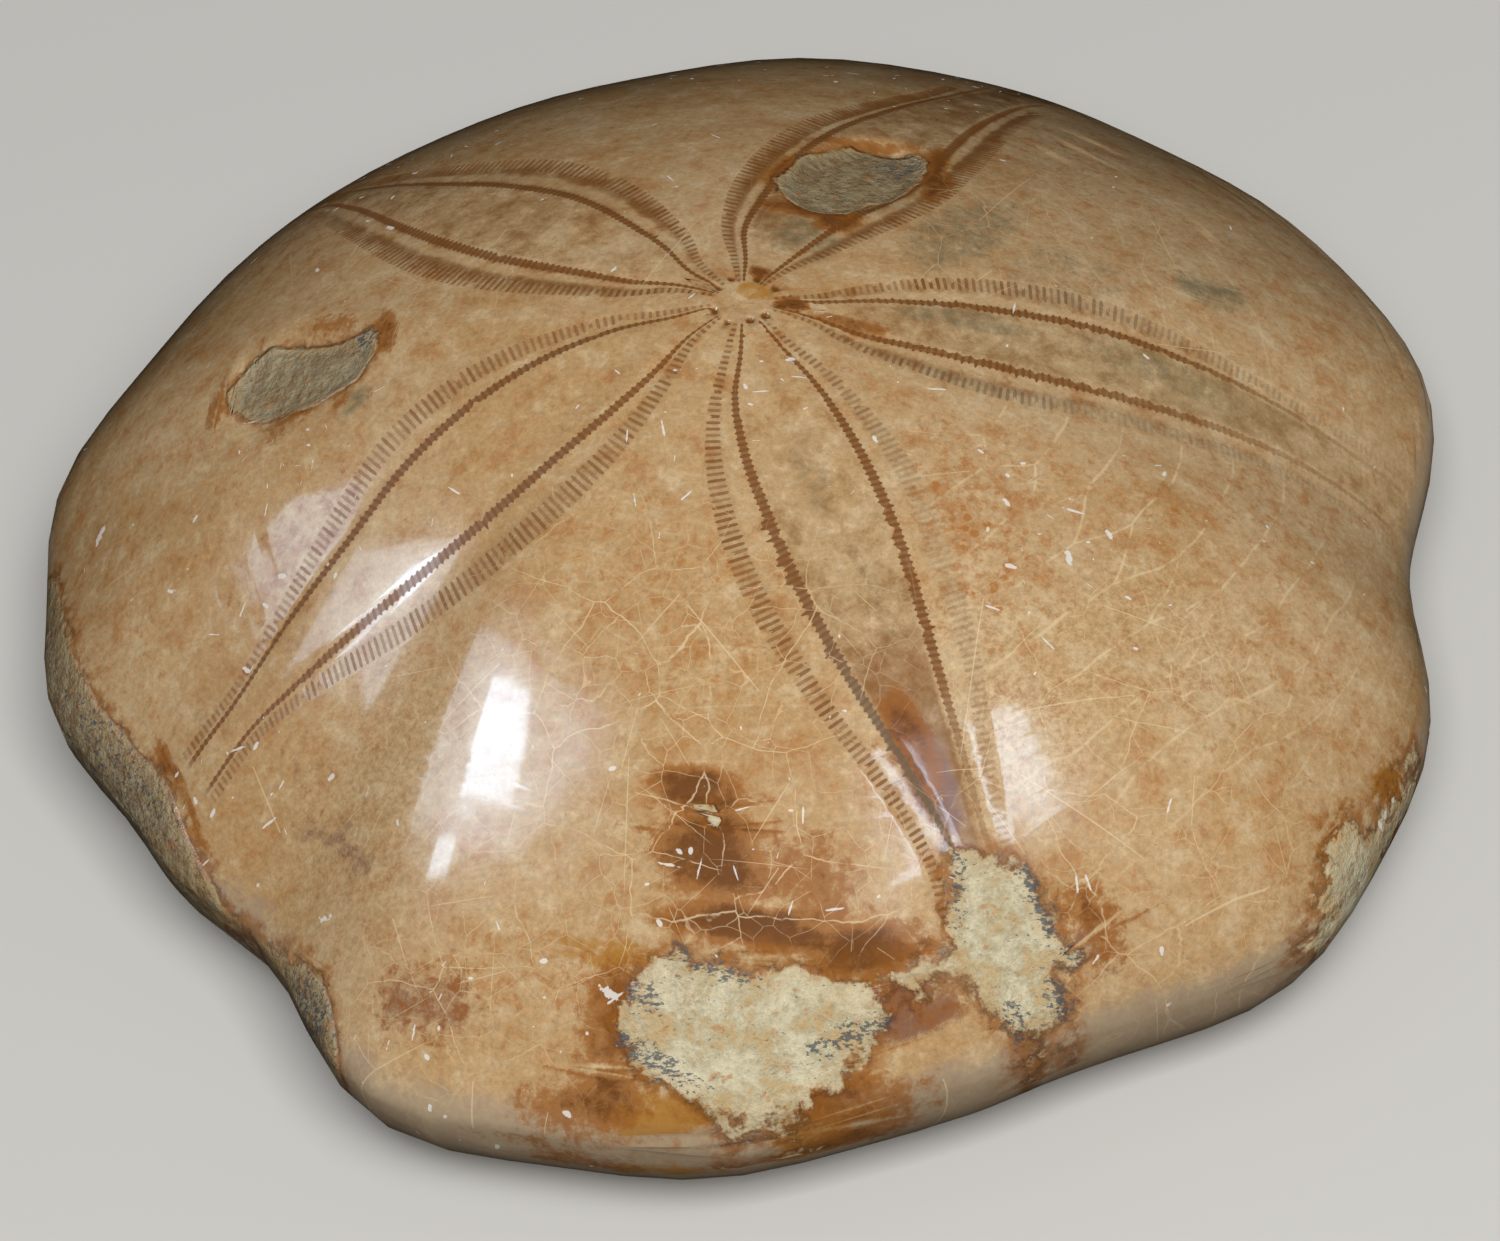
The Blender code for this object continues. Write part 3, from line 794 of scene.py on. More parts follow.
@dataclass
class SeaUrchinTest:
    """The stone body: one closed piece, laid out in rings along the pore rows and lanes across."""

    dome: Dome = field(default_factory=Dome)
    petals: Petals = field(default_factory=Petals)
    disc: ApicalDisc = field(default_factory=ApicalDisc)
    underside: Underside = field(default_factory=Underside)
    hollows: tuple[Hollow, ...] = (
        Hollow((-28.4, 1.9), (6.4, 4.0), -3.0, 0.75, 0.30),
        Hollow((9.6, 18.6), (7.2, 4.4), 62.0, 0.80, 0.30),
        Hollow((7.0, -46.0), (10.5, 3.8), 4.0, 0.45, 0.35),
        Hollow((21.2, -39.6), (5.2, 3.2), -20.0, 0.40, 0.35),
        Hollow((2.6, -35.4), (1.5, 1.1), 35.0, 0.35, 0.40),
        # A place that the polishing has flattened
        Hollow((-13.5, -32.0), (12.0, 12.0), 0.0, 0.36, 1.0),
    )
    pores_in_row: int = PORES_IN_ROW
    first_pore: float = 2.05
    last_pore: float = 45.4
    # The least distance from the last pore to the rim
    rim_gap: float = 0.9
    disc_rings: int = 18
    shoulder_rings: int = 18
    under_rings: int = 52
    # How much the rings crowd towards the rim, and below it towards the mouth
    shoulder_lean: float = 1.15
    under_lean: float = 1.25
    # Lanes from a petal's middle line to the middle of the field beside it
    lanes_each_side: int = LANES_EACH_SIDE
    # How many pores a ring of the shoulder is worth
    shoulder_pitch: float = 2.3
    # Where a zone's second line lies, as a share of its edge, and the least gap to the slits
    edge_share: float = 0.93
    least_gap: float = 0.105
    edge_step: float = 0.12
    # The filling's grain: its height, two scales per millimetre, and the finer one's share
    grain_height: float = 0.07
    coarse_grain: float = 1.6
    fine_grain: float = 3.7
    fine_share: float = 0.6
    grain_margin: float = 0.4

    def top_height(self, x: Array, y: Array) -> Array:
        """Gives the height of the top with all its relief."""
        height = self.dome.height_at(x, y) + self.petals.relief(x, y)
        height = height + self.disc.relief(x, y, self.petals.apex)
        for hollow in self.hollows:
            height = height + hollow.relief(x, y)
        return height

    def furrow_ends(self) -> list[Point]:
        """Gives where each petal's middle line meets the rim."""
        ends = []
        for petal in self.petals.petals:
            bearing = (petal.inner_left.bearings[-1] + petal.inner_right.bearings[-1]) / 2
            away = float(self.dome.rim_distance(self.petals.apex, np.array([bearing]))[0])
            across, up = turned_by(bearing)
            ends.append((self.petals.apex[0] + away * across, self.petals.apex[1] + away * up))
        return ends

    def zone_lines(self, petal: Petal, side: Side) -> Array:
        """Lays the eight lines of one pore zone, from its outer edge to its inner one.

        Args:
            petal: The petal that the zone is on.
            side: Which side of it.

        Returns:
            Plan places, shape (pores_in_row + 1, 8, 2).
        """
        petals = self.petals
        outer, inner = petal.rows(side)
        reach = self.dome.rim_distance(petals.apex, np.array([outer.bearings[-1]]))[0]
        end = min(self.last_pore, reach - self.rim_gap)
        distance = np.linspace(self.first_pore, end, PATH_SAMPLES)
        outer_bearing = petals.along(outer.bearings, distance)
        inner_bearing = petals.along(inner.bearings, distance)
        across, up = turned_by((outer_bearing + inner_bearing) / 2)
        x, y = petals.apex[0] + distance * across, petals.apex[1] + distance * up
        run = np.gradient(np.stack([x, y, self.dome.height_at(x, y)]), axis=1)
        gone = np.concatenate([[0.0], np.cumsum(np.linalg.norm(run, axis=0)[1:])])
        steps = np.linspace(0.0, gone[-1], self.pores_in_row + 1)
        distance, x, y = (np.interp(steps, gone, value) for value in (distance, x, y))
        forward = np.stack([np.interp(steps, gone, run[0]), np.interp(steps, gone, run[1])], 1)
        forward /= np.linalg.norm(forward, axis=1, keepdims=True)
        inward = side.value * np.stack([-forward[:, 1], forward[:, 0]], 1)
        outward = np.stack([x - petals.apex[0], y - petals.apex[1]], 1) / distance[:, None]
        squareness = (forward * outward).sum(1)
        separation = np.abs(
            petals.along(outer.bearings, distance) - petals.along(inner.bearings, distance)
        )
        half = np.radians(separation) * distance / 2
        margin = petals.margin * np.minimum(distance / petals.start, 1.0)
        edge = (half + margin) * squareness
        half = half * squareness
        young = np.minimum(distance / petals.stations[0], 1.0)
        slit = (petals.along(petals.slit_lengths, distance) * outer.length + 0.2) * young / 2
        band = petals.along(petals.band_widths, distance) * young / 2
        # Slits and band never meet, however near the two rows come
        room = np.minimum(1.6 * half / (slit + band), 1.0)
        slit, band = slit * room, band * room
        gap = self.least_gap * margin / petals.margin
        second = np.maximum(self.edge_share * edge, half + slit + gap)
        first = np.maximum(edge, second + self.edge_step * young)
        slit_lines = [-half - slit, -half + slit]
        band_lines = [half - band, half + band]
        edge_lines = [self.edge_share * edge, edge]
        offsets = np.stack([-first, -second, *slit_lines, *band_lines, *edge_lines], 1)
        return np.stack([x, y], 1)[:, None] + offsets[..., None] * inward[:, None]

    def pore_rings(self) -> Array:
        """Lays every lane at every pore ring, once round from the field before the front petal.

        Returns:
            Distance from the apex and bearing, shape (pores_in_row + 1, lanes, 2).
        """
        apex = np.array(self.petals.apex)
        zones = []
        for petal in self.petals.petals:
            for side in Side:
                lines = self.zone_lines(petal, side)
                if side is Side.LEFT:
                    lines = lines[:, ::-1]
                away = lines - apex
                bearing = np.degrees(np.arctan2(away[..., 1], away[..., 0]))
                middle = petal.rows(side)[0].bearings[3]
                bearing = middle + angle_between(bearing, middle)
                zones.append(np.stack([np.hypot(away[..., 0], away[..., 1]), bearing], -1))
        lanes = []
        field_cells = 2 * FIELD_LANES
        gap_cells = 2 * (self.lanes_each_side - FIELD_LANES - ZONE_LANES)
        for index in range(len(self.petals.petals)):
            right, left = zones[2 * index], zones[2 * index + 1]
            before = zones[2 * index - 1].copy()
            if index == 0:
                before[..., 1] -= 360.0
            for cell in range(gap_cells // 2, gap_cells):
                lanes.append(before[:, -1] + (right[:, 0] - before[:, -1]) * cell / gap_cells)
            lanes.extend(right[:, line] for line in range(8))
            for cell in range(1, field_cells):
                lanes.append(right[:, -1] + (left[:, 0] - right[:, -1]) * cell / field_cells)
            lanes.extend(left[:, line] for line in range(8))
            after = zones[(2 * index + 2) % len(zones)].copy()
            if index == len(self.petals.petals) - 1:
                after[..., 1] += 360.0
            for cell in range(1, gap_cells // 2):
                lanes.append(left[:, -1] + (after[:, 0] - left[:, -1]) * cell / gap_cells)
        return np.stack(lanes, 1)

    @staticmethod
    def spread(path: Callable[[Array], Array], count: int, lean: float) -> Array:
        """Walks a path from 0 to 1 and places points at even lengths along it.

        Args:
            path: Gives places of shape (steps, lanes, 3) for steps of shape (steps, 1).
            count: How many points to place after the start.
            lean: Above 1, the points crowd towards the end.

        Returns:
            Steps along the path, shape (count, lanes).
        """
        samples = np.linspace(0.0, 1.0, SPREAD_SAMPLES)[:, None]
        lengths = np.linalg.norm(np.diff(path(samples), axis=0), axis=-1)
        gone = np.concatenate([np.zeros((1, lengths.shape[1])), np.cumsum(lengths, axis=0)])
        wanted = 1.0 - (1.0 - np.arange(1, count + 1) / count) ** lean
        steps = [np.interp(wanted * total[-1], total, samples[:, 0]) for total in gone.T]
        return np.stack(steps, 1)

    def lay_out(self) -> Net:
        """Works out every point of the body, from the apex over the rim to the mouth."""
        apex, mouth = self.petals.apex, self.underside.mouth
        polar = self.pore_rings()
        shares = np.arange(1, self.disc_rings)[:, None] / self.disc_rings
        inner = np.stack([shares * polar[0, :, 0], np.tile(polar[0, :, 1], (len(shares), 1))], -1)
        polar = np.concatenate([inner, polar])
        last, bearing = polar[-1, :, 0], polar[-1, :, 1]
        across, up = turned_by(bearing)
        rim = self.dome.rim_distance(apex, bearing)

        def shoulder(step: Array) -> Array:
            """Gives places from the last pore ring to the rim."""
            away = last + (rim - last) * (1.0 - (1.0 - step) ** 2)
            x, y = apex[0] + away * across, apex[1] + away * up
            return np.stack([x, y, self.dome.height_at(x, y)], -1)

        rim_x, rim_y = apex[0] + rim * across, apex[1] + rim * up
        ends = self.furrow_ends()

        def below(step: Array) -> Array:
            """Gives places from the rim to the mouth."""
            share = 1.0 - step**2 * (2.0 - step)
            x, y = mouth[0] + share * (rim_x - mouth[0]), mouth[1] + share * (rim_y - mouth[1])
            return np.stack([x, y, self.underside.height_at(x, y, self.dome, ends)], -1)

        steps = self.spread(shoulder, self.shoulder_rings, self.shoulder_lean)
        away = last + (rim - last) * (1.0 - (1.0 - steps) ** 2)
        polar = np.concatenate([polar, np.stack([away, np.tile(bearing, (len(away), 1))], -1)])
        across, up = turned_by(polar[..., 1])
        x, y = apex[0] + polar[..., 0] * across, apex[1] + polar[..., 0] * up
        top = np.stack([x, y, self.top_height(x, y)], -1)
        top[-1, :, 2] = self.dome.rim_height
        steps = self.spread(below, self.under_rings + 1, self.under_lean)[:-1]
        places = np.concatenate([top, below(steps)])
        return self.with_maps(places, polar, len(top) - 1)

    def with_maps(self, places: Array, polar: Array, rim_ring: int) -> Net:
        """Adds each point's lane, ring and place on the bake map.

        Args:
            places: Places of all the rings, in millimetres.
            polar: Distance from the apex and bearing, for the rings of the top.
            rim_ring: The ring that is the rim.

        Returns:
            The finished grid.
        """
        sides = self.lanes_each_side
        lanes = places.shape[1]
        lane = np.abs((np.arange(lanes) % (2 * sides)) - sides).astype(float)
        ring = np.arange(len(places)) - (self.disc_rings - 1.0)
        past = np.maximum(ring - self.pores_in_row, 0.0)
        ring = ring + past * (self.shoulder_pitch - 1.0)
        first = np.linalg.norm(places[:1, :, :2] - self.petals.apex, axis=-1)
        between = np.linalg.norm(np.diff(places, axis=0), axis=-1)
        out = np.cumsum(np.concatenate([first, between]), axis=0)
        top, below = out[: rim_ring + 1], out[-1] - out[rim_ring:] + 1.0
        turn = np.radians(polar[..., 1])
        top_map = top[..., None] * np.stack([np.cos(turn), np.sin(turn)], -1) / top.max()
        mouth = self.underside.mouth
        rim = places[rim_ring]
        turn = np.arctan2(rim[:, 1] - mouth[1], rim[:, 0] - mouth[0])
        under = below[..., None] * np.stack([-np.cos(turn), np.sin(turn)], -1) / below.max()
        top_map, under_map = TOP_MAP.place(top_map), UNDER_MAP.place(under)
        return Net(places, lane, ring, top_map, under_map, rim_ring)

    def build(self) -> bpy.types.Object:
        """Models the body: a sphere laid on the net, mapped, roughened and marked."""
        net = self.lay_out()
        rings, lanes = net.places.shape[:2]
        bpy.ops.object.select_all(action="DESELECT")
        bpy.ops.mesh.primitive_uv_sphere_add(segments=lanes, ring_count=rings + 1, radius=1.0)
        body = bpy.context.object
        body.name = "fossil_test"
        mesh = body.data
        mesh.name = body.name
        ring, lane = self.grid_place(mesh, rings, lanes)
        self.place_points(mesh, net, ring, lane)
        self.map_faces(mesh, net, ring, lane)
        self.roughen_filling(mesh)
        self.mark(mesh)
        bpy.ops.object.shade_smooth()
        return body

    @staticmethod
    def grid_place(mesh: bpy.types.Mesh, rings: int, lanes: int) -> tuple[Array, Array]:
        """Reads which ring and lane each point of the new sphere stands for."""
        co = np.empty(len(mesh.vertices) * 3, np.float32)
        mesh.vertices.foreach_get("co", co)
        co = co.reshape(-1, 3).astype(float)
        from_top = np.arctan2(np.hypot(co[:, 0], co[:, 1]), co[:, 2])
        ring = np.round(from_top / math.pi * (rings + 1)).astype(int) - 1
        turn = np.arctan2(co[:, 1], co[:, 0]) / (2 * math.pi) * lanes
        return ring, np.round(turn).astype(int) % lanes

    def place_points(self, mesh: bpy.types.Mesh, net: Net, ring: Array, lane: Array) -> None:
        """Moves the sphere's points onto the body."""
        rings = len(net.places)
        places = net.places[np.clip(ring, 0, rings - 1), lane].copy()
        apex, mouth = self.petals.apex, self.underside.mouth
        middle = [np.array([value]) for value in apex]
        places[ring < 0] = (*apex, float(self.top_height(*middle)[0]))
        middle = [np.array([value]) for value in mouth]
        height = self.underside.height_at(*middle, self.dome, self.furrow_ends())
        places[ring >= rings] = (*mouth, float(height[0]))
        mesh.vertices.foreach_set("co", (places * MM).astype(np.float32).ravel())
        mesh.update()

    @staticmethod
    def corners(mesh: bpy.types.Mesh) -> tuple[Array, Array]:
        """Gives each face corner's point, and the first corner of each face."""
        points = np.empty(len(mesh.loops), np.int32)
        mesh.loops.foreach_get("vertex_index", points)
        first = np.empty(len(mesh.polygons), np.int32)
        mesh.polygons.foreach_get("loop_start", first)
        return points, first

    def map_faces(self, mesh: bpy.types.Mesh, net: Net, ring: Array, lane: Array) -> None:
        """Writes the bake map, and the map of lanes and rings that the pore rows follow."""
        points, first = self.corners(mesh)
        face = np.zeros(len(points), np.int32)
        face[first[1:]] = 1
        face = np.cumsum(face)
        rings, lanes = net.places.shape[:2]
        corner_ring = np.clip(ring[points], -1, rings)
        lowest = np.minimum.reduceat(corner_ring, first)[face]
        on_top = lowest < net.rim_ring
        held = np.clip(corner_ring, 0, rings - 1)
        top_place = net.map_top[np.clip(held, 0, net.rim_ring), lane[points]]
        under_place = net.map_under[np.clip(held - net.rim_ring, 0, None), lane[points]]
        flat = np.where(on_top[:, None], top_place, under_place)
        flat[corner_ring < 0] = TOP_MAP.middle
        flat[corner_ring >= rings] = UNDER_MAP.middle
        bake_map = mesh.uv_layers.active or mesh.uv_layers.new()
        bake_map.name = "OFBake"
        bake_map.uv.foreach_set("vector", flat.astype(np.float32).ravel())
        row_map = mesh.uv_layers.new(name="lanes")
        ring_value = net.ring[held] - (corner_ring < 0)
        corner_lane = lane[points]
        highest_lane = np.maximum.reduceat(corner_lane, first)[face]
        lowest_lane = np.minimum.reduceat(corner_lane, first)[face]
        # A face across the seam ends at the lane after the last, and not at the first
        across_seam = (highest_lane - lowest_lane > 2) & (corner_lane == 0)
        unrolled = np.where(across_seam, lanes, corner_lane)
        # A face belongs to the half petal where its first lane lies
        half = np.minimum.reduceat(unrolled, first)[face] // self.lanes_each_side
        flat = np.stack([net.lane[corner_lane] + HALF_PETAL_STEP * half, ring_value], 1)
        row_map.uv.foreach_set("vector", flat.astype(np.float32).ravel())
        mesh.uv_layers.active = bake_map

    def roughen_filling(self, mesh: bpy.types.Mesh) -> None:
        """Divides the faces where the filling shows and gives them its grain."""
        centres = np.empty(len(mesh.polygons) * 3, np.float32)
        mesh.polygons.foreach_get("center", centres)
        centres = centres.reshape(-1, 3).astype(float) / MM
        depth = self.filling_depth(centres[:, 0], centres[:, 1])
        chosen = (depth > -self.grain_margin) & (centres[:, 2] > self.dome.rim_height)
        mesh.vertices.foreach_set("select", np.zeros(len(mesh.vertices), bool))
        mesh.edges.foreach_set("select", np.zeros(len(mesh.edges), bool))
        mesh.polygons.foreach_set("select", chosen)
        bpy.ops.object.mode_set(mode="EDIT")
        bpy.ops.mesh.subdivide(number_cuts=1)
        bpy.ops.object.mode_set(mode="OBJECT")
        co = self.read_points(mesh)
        depth = self.filling_depth(co[:, 0], co[:, 1])
        for index in np.flatnonzero((depth > 0.0) & (co[:, 2] > self.dome.rim_height)):
            place = Vector(co[index])
            grain = noise.noise(place * self.coarse_grain)
            grain += self.fine_share * noise.noise(place * self.fine_grain)
            co[index, 2] += self.grain_height * min(depth[index], 1.0) * grain
        mesh.vertices.foreach_set("co", (co * MM).astype(np.float32).ravel())
        mesh.update()

    @staticmethod
    def read_points(mesh: bpy.types.Mesh) -> Array:
        """Gives the mesh's points in millimetres."""
        co = np.empty(len(mesh.vertices) * 3, np.float32)
        mesh.vertices.foreach_get("co", co)
        return co.reshape(-1, 3).astype(float) / MM

    @staticmethod
    def filling_depth(x: Array, y: Array) -> Array:
        """Gives how far inside the nearest patch a plan point lies, negative outside."""
        return np.max([patch.depth(x, y) for patch in PATCHES], axis=0)

    def mark(self, mesh: bpy.types.Mesh) -> None:
        """Writes the stains and marks that the stone's material reads."""
        co = self.read_points(mesh)
        x, y = co[:, 0], co[:, 1]
        top = co[:, 2] > self.dome.rim_height - 3.0
        marks = np.zeros((len(Mark), len(x)))
        for spot in SPOTS:
            index = spot.mark.value
            marks[index] = np.maximum(marks[index], spot.mask(x, y) * top)
        for number in range(len(Mark) // 3):
            layer = mesh.attributes.new(f"marks_{number}", "FLOAT_COLOR", "POINT")
            values = np.ones((len(x), 4), np.float32)
            values[:, :3] = marks[3 * number : 3 * number + 3].T
            layer.data.foreach_set("color", values.ravel())
        stains = self.petals.row_stains(x, y)
        fields = self.petals.field_stains(x, y)
        for name, values in (("row_stains", stains), ("field_stains", fields)):
            layer = mesh.attributes.new(name, "FLOAT_COLOR", "POINT")
            layer.data.foreach_set("color", values.astype(np.float32).ravel())
        depth = np.where(top, self.filling_depth(x, y), -10.0)
        pits = self.disc.pits(x, y) * top
        for name, values in (("filling", depth), ("pits", pits)):
            layer = mesh.attributes.new(name, "FLOAT", "POINT")
            layer.data.foreach_set("value", values.astype(np.float32))


Socket = bpy.types.NodeSocket
Input = Socket | float | tuple[float, ...]


class Graph:
    """Adds and links nodes in one node tree."""

    def __init__(self, tree: bpy.types.NodeTree) -> None:
        """Keeps the tree that the nodes go in."""
        self.tree = tree

    def add(self, kind: str, **settings: object) -> bpy.types.Node:
        """Adds a node and sets its properties."""
        node = self.tree.nodes.new(kind)
        for name, value in settings.items():
            setattr(node, name, value)
        return node

    def feed(self, socket: Socket, value: Input) -> None:
        """Links a socket into another, or sets its value."""
        if isinstance(value, bpy.types.NodeSocket):
            self.tree.links.new(value, socket)
        else:
            socket.default_value = value

    def math(self, operation: str, *values: Input, clamp: bool = False) -> Socket:
        """Gives the result of one sum."""
        node = self.add("ShaderNodeMath", operation=operation, use_clamp=clamp)
        for socket, value in zip(node.inputs, values, strict=False):
            self.feed(socket, value)
        return node.outputs[0]

    def vector(self, operation: str, *values: Input) -> Socket:
        """Gives the result of one vector sum."""
        node = self.add("ShaderNodeVectorMath", operation=operation)
        for socket, value in zip(node.inputs, values, strict=False):
            self.feed(socket, value)
        return node.outputs["Value"] if operation == "LENGTH" else node.outputs[0]

    def mix(self, factor: Input, first: Input, second: Input, blend: str = "MIX") -> Socket:
        """Gives one colour laid over another."""
        node = self.add("ShaderNodeMix", data_type="RGBA", blend_type=blend)
        self.feed(node.inputs["Factor"], factor)
        self.feed(node.inputs[6], first)
        self.feed(node.inputs[7], second)
        return node.outputs[2]

    def step(self, value: Input, low: float, high: float) -> Socket:
        """Gives 0 below low and 1 above high, or the other way round, with a smooth change."""
        node = self.add("ShaderNodeMapRange", interpolation_type="SMOOTHSTEP")
        self.feed(node.inputs["Value"], value)
        rising = low < high
        node.inputs["From Min"].default_value = low if rising else high
        node.inputs["From Max"].default_value = high if rising else low
        node.inputs["To Min"].default_value = 0.0 if rising else 1.0
        node.inputs["To Max"].default_value = 1.0 if rising else 0.0
        return node.outputs["Result"]

    def apart(self, value: Input, middle: float) -> Socket:
        """Gives how far a value lies from a middle one."""
        return self.math("ABSOLUTE", self.math("SUBTRACT", value, middle))

    def noise(
        self,
        place: Socket,
        scale: float,
        detail: float = 3.0,
        rough: float = 0.5,
        warp: float = 0.0,
    ) -> Socket:
        """Gives a cloudy value, about 0.5 in the middle."""
        node = self.add("ShaderNodeTexNoise")
        self.feed(node.inputs["Vector"], place)
        node.inputs["Scale"].default_value = scale
        node.inputs["Detail"].default_value = detail
        node.inputs["Roughness"].default_value = rough
        node.inputs["Distortion"].default_value = warp
        return node.outputs[0]

    def stretched(self, place: Socket, scale: tuple[float, float, float], turn: float) -> Socket:
        """Gives the place turned about Z and scaled, for a pattern that runs one way."""
        node = self.add("ShaderNodeMapping")
        self.feed(node.inputs["Vector"], place)
        node.inputs["Rotation"].default_value = (0.0, 0.0, math.radians(turn))
        node.inputs["Scale"].default_value = scale
        return node.outputs[0]

    def colours(self, name: str) -> tuple[Socket, Socket, Socket]:
        """Gives the first three parts of one of the piece's colour attributes."""
        node = self.add("ShaderNodeAttribute", attribute_name=name)
        parts = self.add("ShaderNodeSeparateColor")
        self.feed(parts.inputs[0], node.outputs["Color"])
        return tuple(parts.outputs[:3])

    def value(self, name: str) -> Socket:
        """Gives one of the piece's plain attributes."""
        return self.add("ShaderNodeAttribute", attribute_name=name).outputs["Fac"]

    def times(self, *values: Input) -> Socket:
        """Gives the product of several values."""
        product = values[0]
        for value in values[1:]:
            product = self.math("MULTIPLY", product, value)
        return product

    def warped(self, place: Socket, scale: float, amount: float) -> Socket:
        """Gives the place pushed about by a cloudy vector."""
        push = self.add("ShaderNodeTexNoise")
        self.feed(push.inputs["Vector"], place)
        push.inputs["Scale"].default_value = scale
        centred = self.vector("SUBTRACT", push.outputs["Color"], (0.5, 0.5, 0.5))
        return self.vector("MULTIPLY_ADD", centred, (amount, amount, amount), place)


def make_flecks() -> bpy.types.NodeTree:
    """Builds the group that scatters short marks, each turned its own way.

    Returns:
        A node group with inputs Vector, Scale, Length, Width, Ragged and Amount, and output Mask.
    """
    tree = bpy.data.node_groups.new("flecks", "ShaderNodeTree")
    tree.interface.new_socket("Vector", in_out="INPUT", socket_type="NodeSocketVector")
    for name in ("Scale", "Length", "Width", "Ragged", "Amount"):
        tree.interface.new_socket(name, in_out="INPUT", socket_type="NodeSocketFloat")
    tree.interface.new_socket("Mask", in_out="OUTPUT", socket_type="NodeSocketFloat")
    graph = Graph(tree)
    given = graph.add("NodeGroupInput").outputs
    cells = graph.add("ShaderNodeTexVoronoi")
    graph.feed(cells.inputs["Vector"], given["Vector"])
    graph.feed(cells.inputs["Scale"], given["Scale"])
    away = graph.vector("SUBTRACT", given["Vector"], cells.outputs["Position"])
    chance = graph.add("ShaderNodeSeparateColor")
    graph.feed(chance.inputs[0], cells.outputs["Color"])
    turn = graph.add("ShaderNodeVectorRotate", rotation_type="Z_AXIS")
    graph.feed(turn.inputs["Vector"], away)
    graph.feed(turn.inputs["Angle"], graph.math("MULTIPLY", chance.outputs[0], math.tau))
    parts = graph.add("ShaderNodeSeparateXYZ")
    graph.feed(parts.inputs[0], turn.outputs[0])
    size = graph.math("MULTIPLY_ADD", graph.math("POWER", chance.outputs[1], 2.0), 1.1, 0.35)
    out: Input = graph.math("MULTIPLY_ADD", graph.noise(given["Vector"], 2.6, 2.0), 2.0, -1.0)
    out = graph.math("MULTIPLY", out, given["Ragged"])
    for part, reach in zip(parts.outputs, ("Length", "Width", "Length"), strict=True):
        share = graph.math("DIVIDE", part, graph.math("MULTIPLY", given[reach], size))
        out = graph.math("MULTIPLY_ADD", share, share, out)
    picked = graph.math("LESS_THAN", chance.outputs[2], given["Amount"])
    mask = graph.math("MULTIPLY", graph.step(out, 1.1, 0.7), picked)
    graph.feed(graph.add("NodeGroupOutput").inputs["Mask"], mask)
    return tree


@dataclass(frozen=True)
class Ground:
    """What the material's layers share.

    place is the point in millimetres, coarse and fine are two mottling noises, and bare says how
    far the point lies on the unpolished stone below the rim's edge.
    """

    place: Socket
    coarse: Socket
    fine: Socket
    bare: Socket


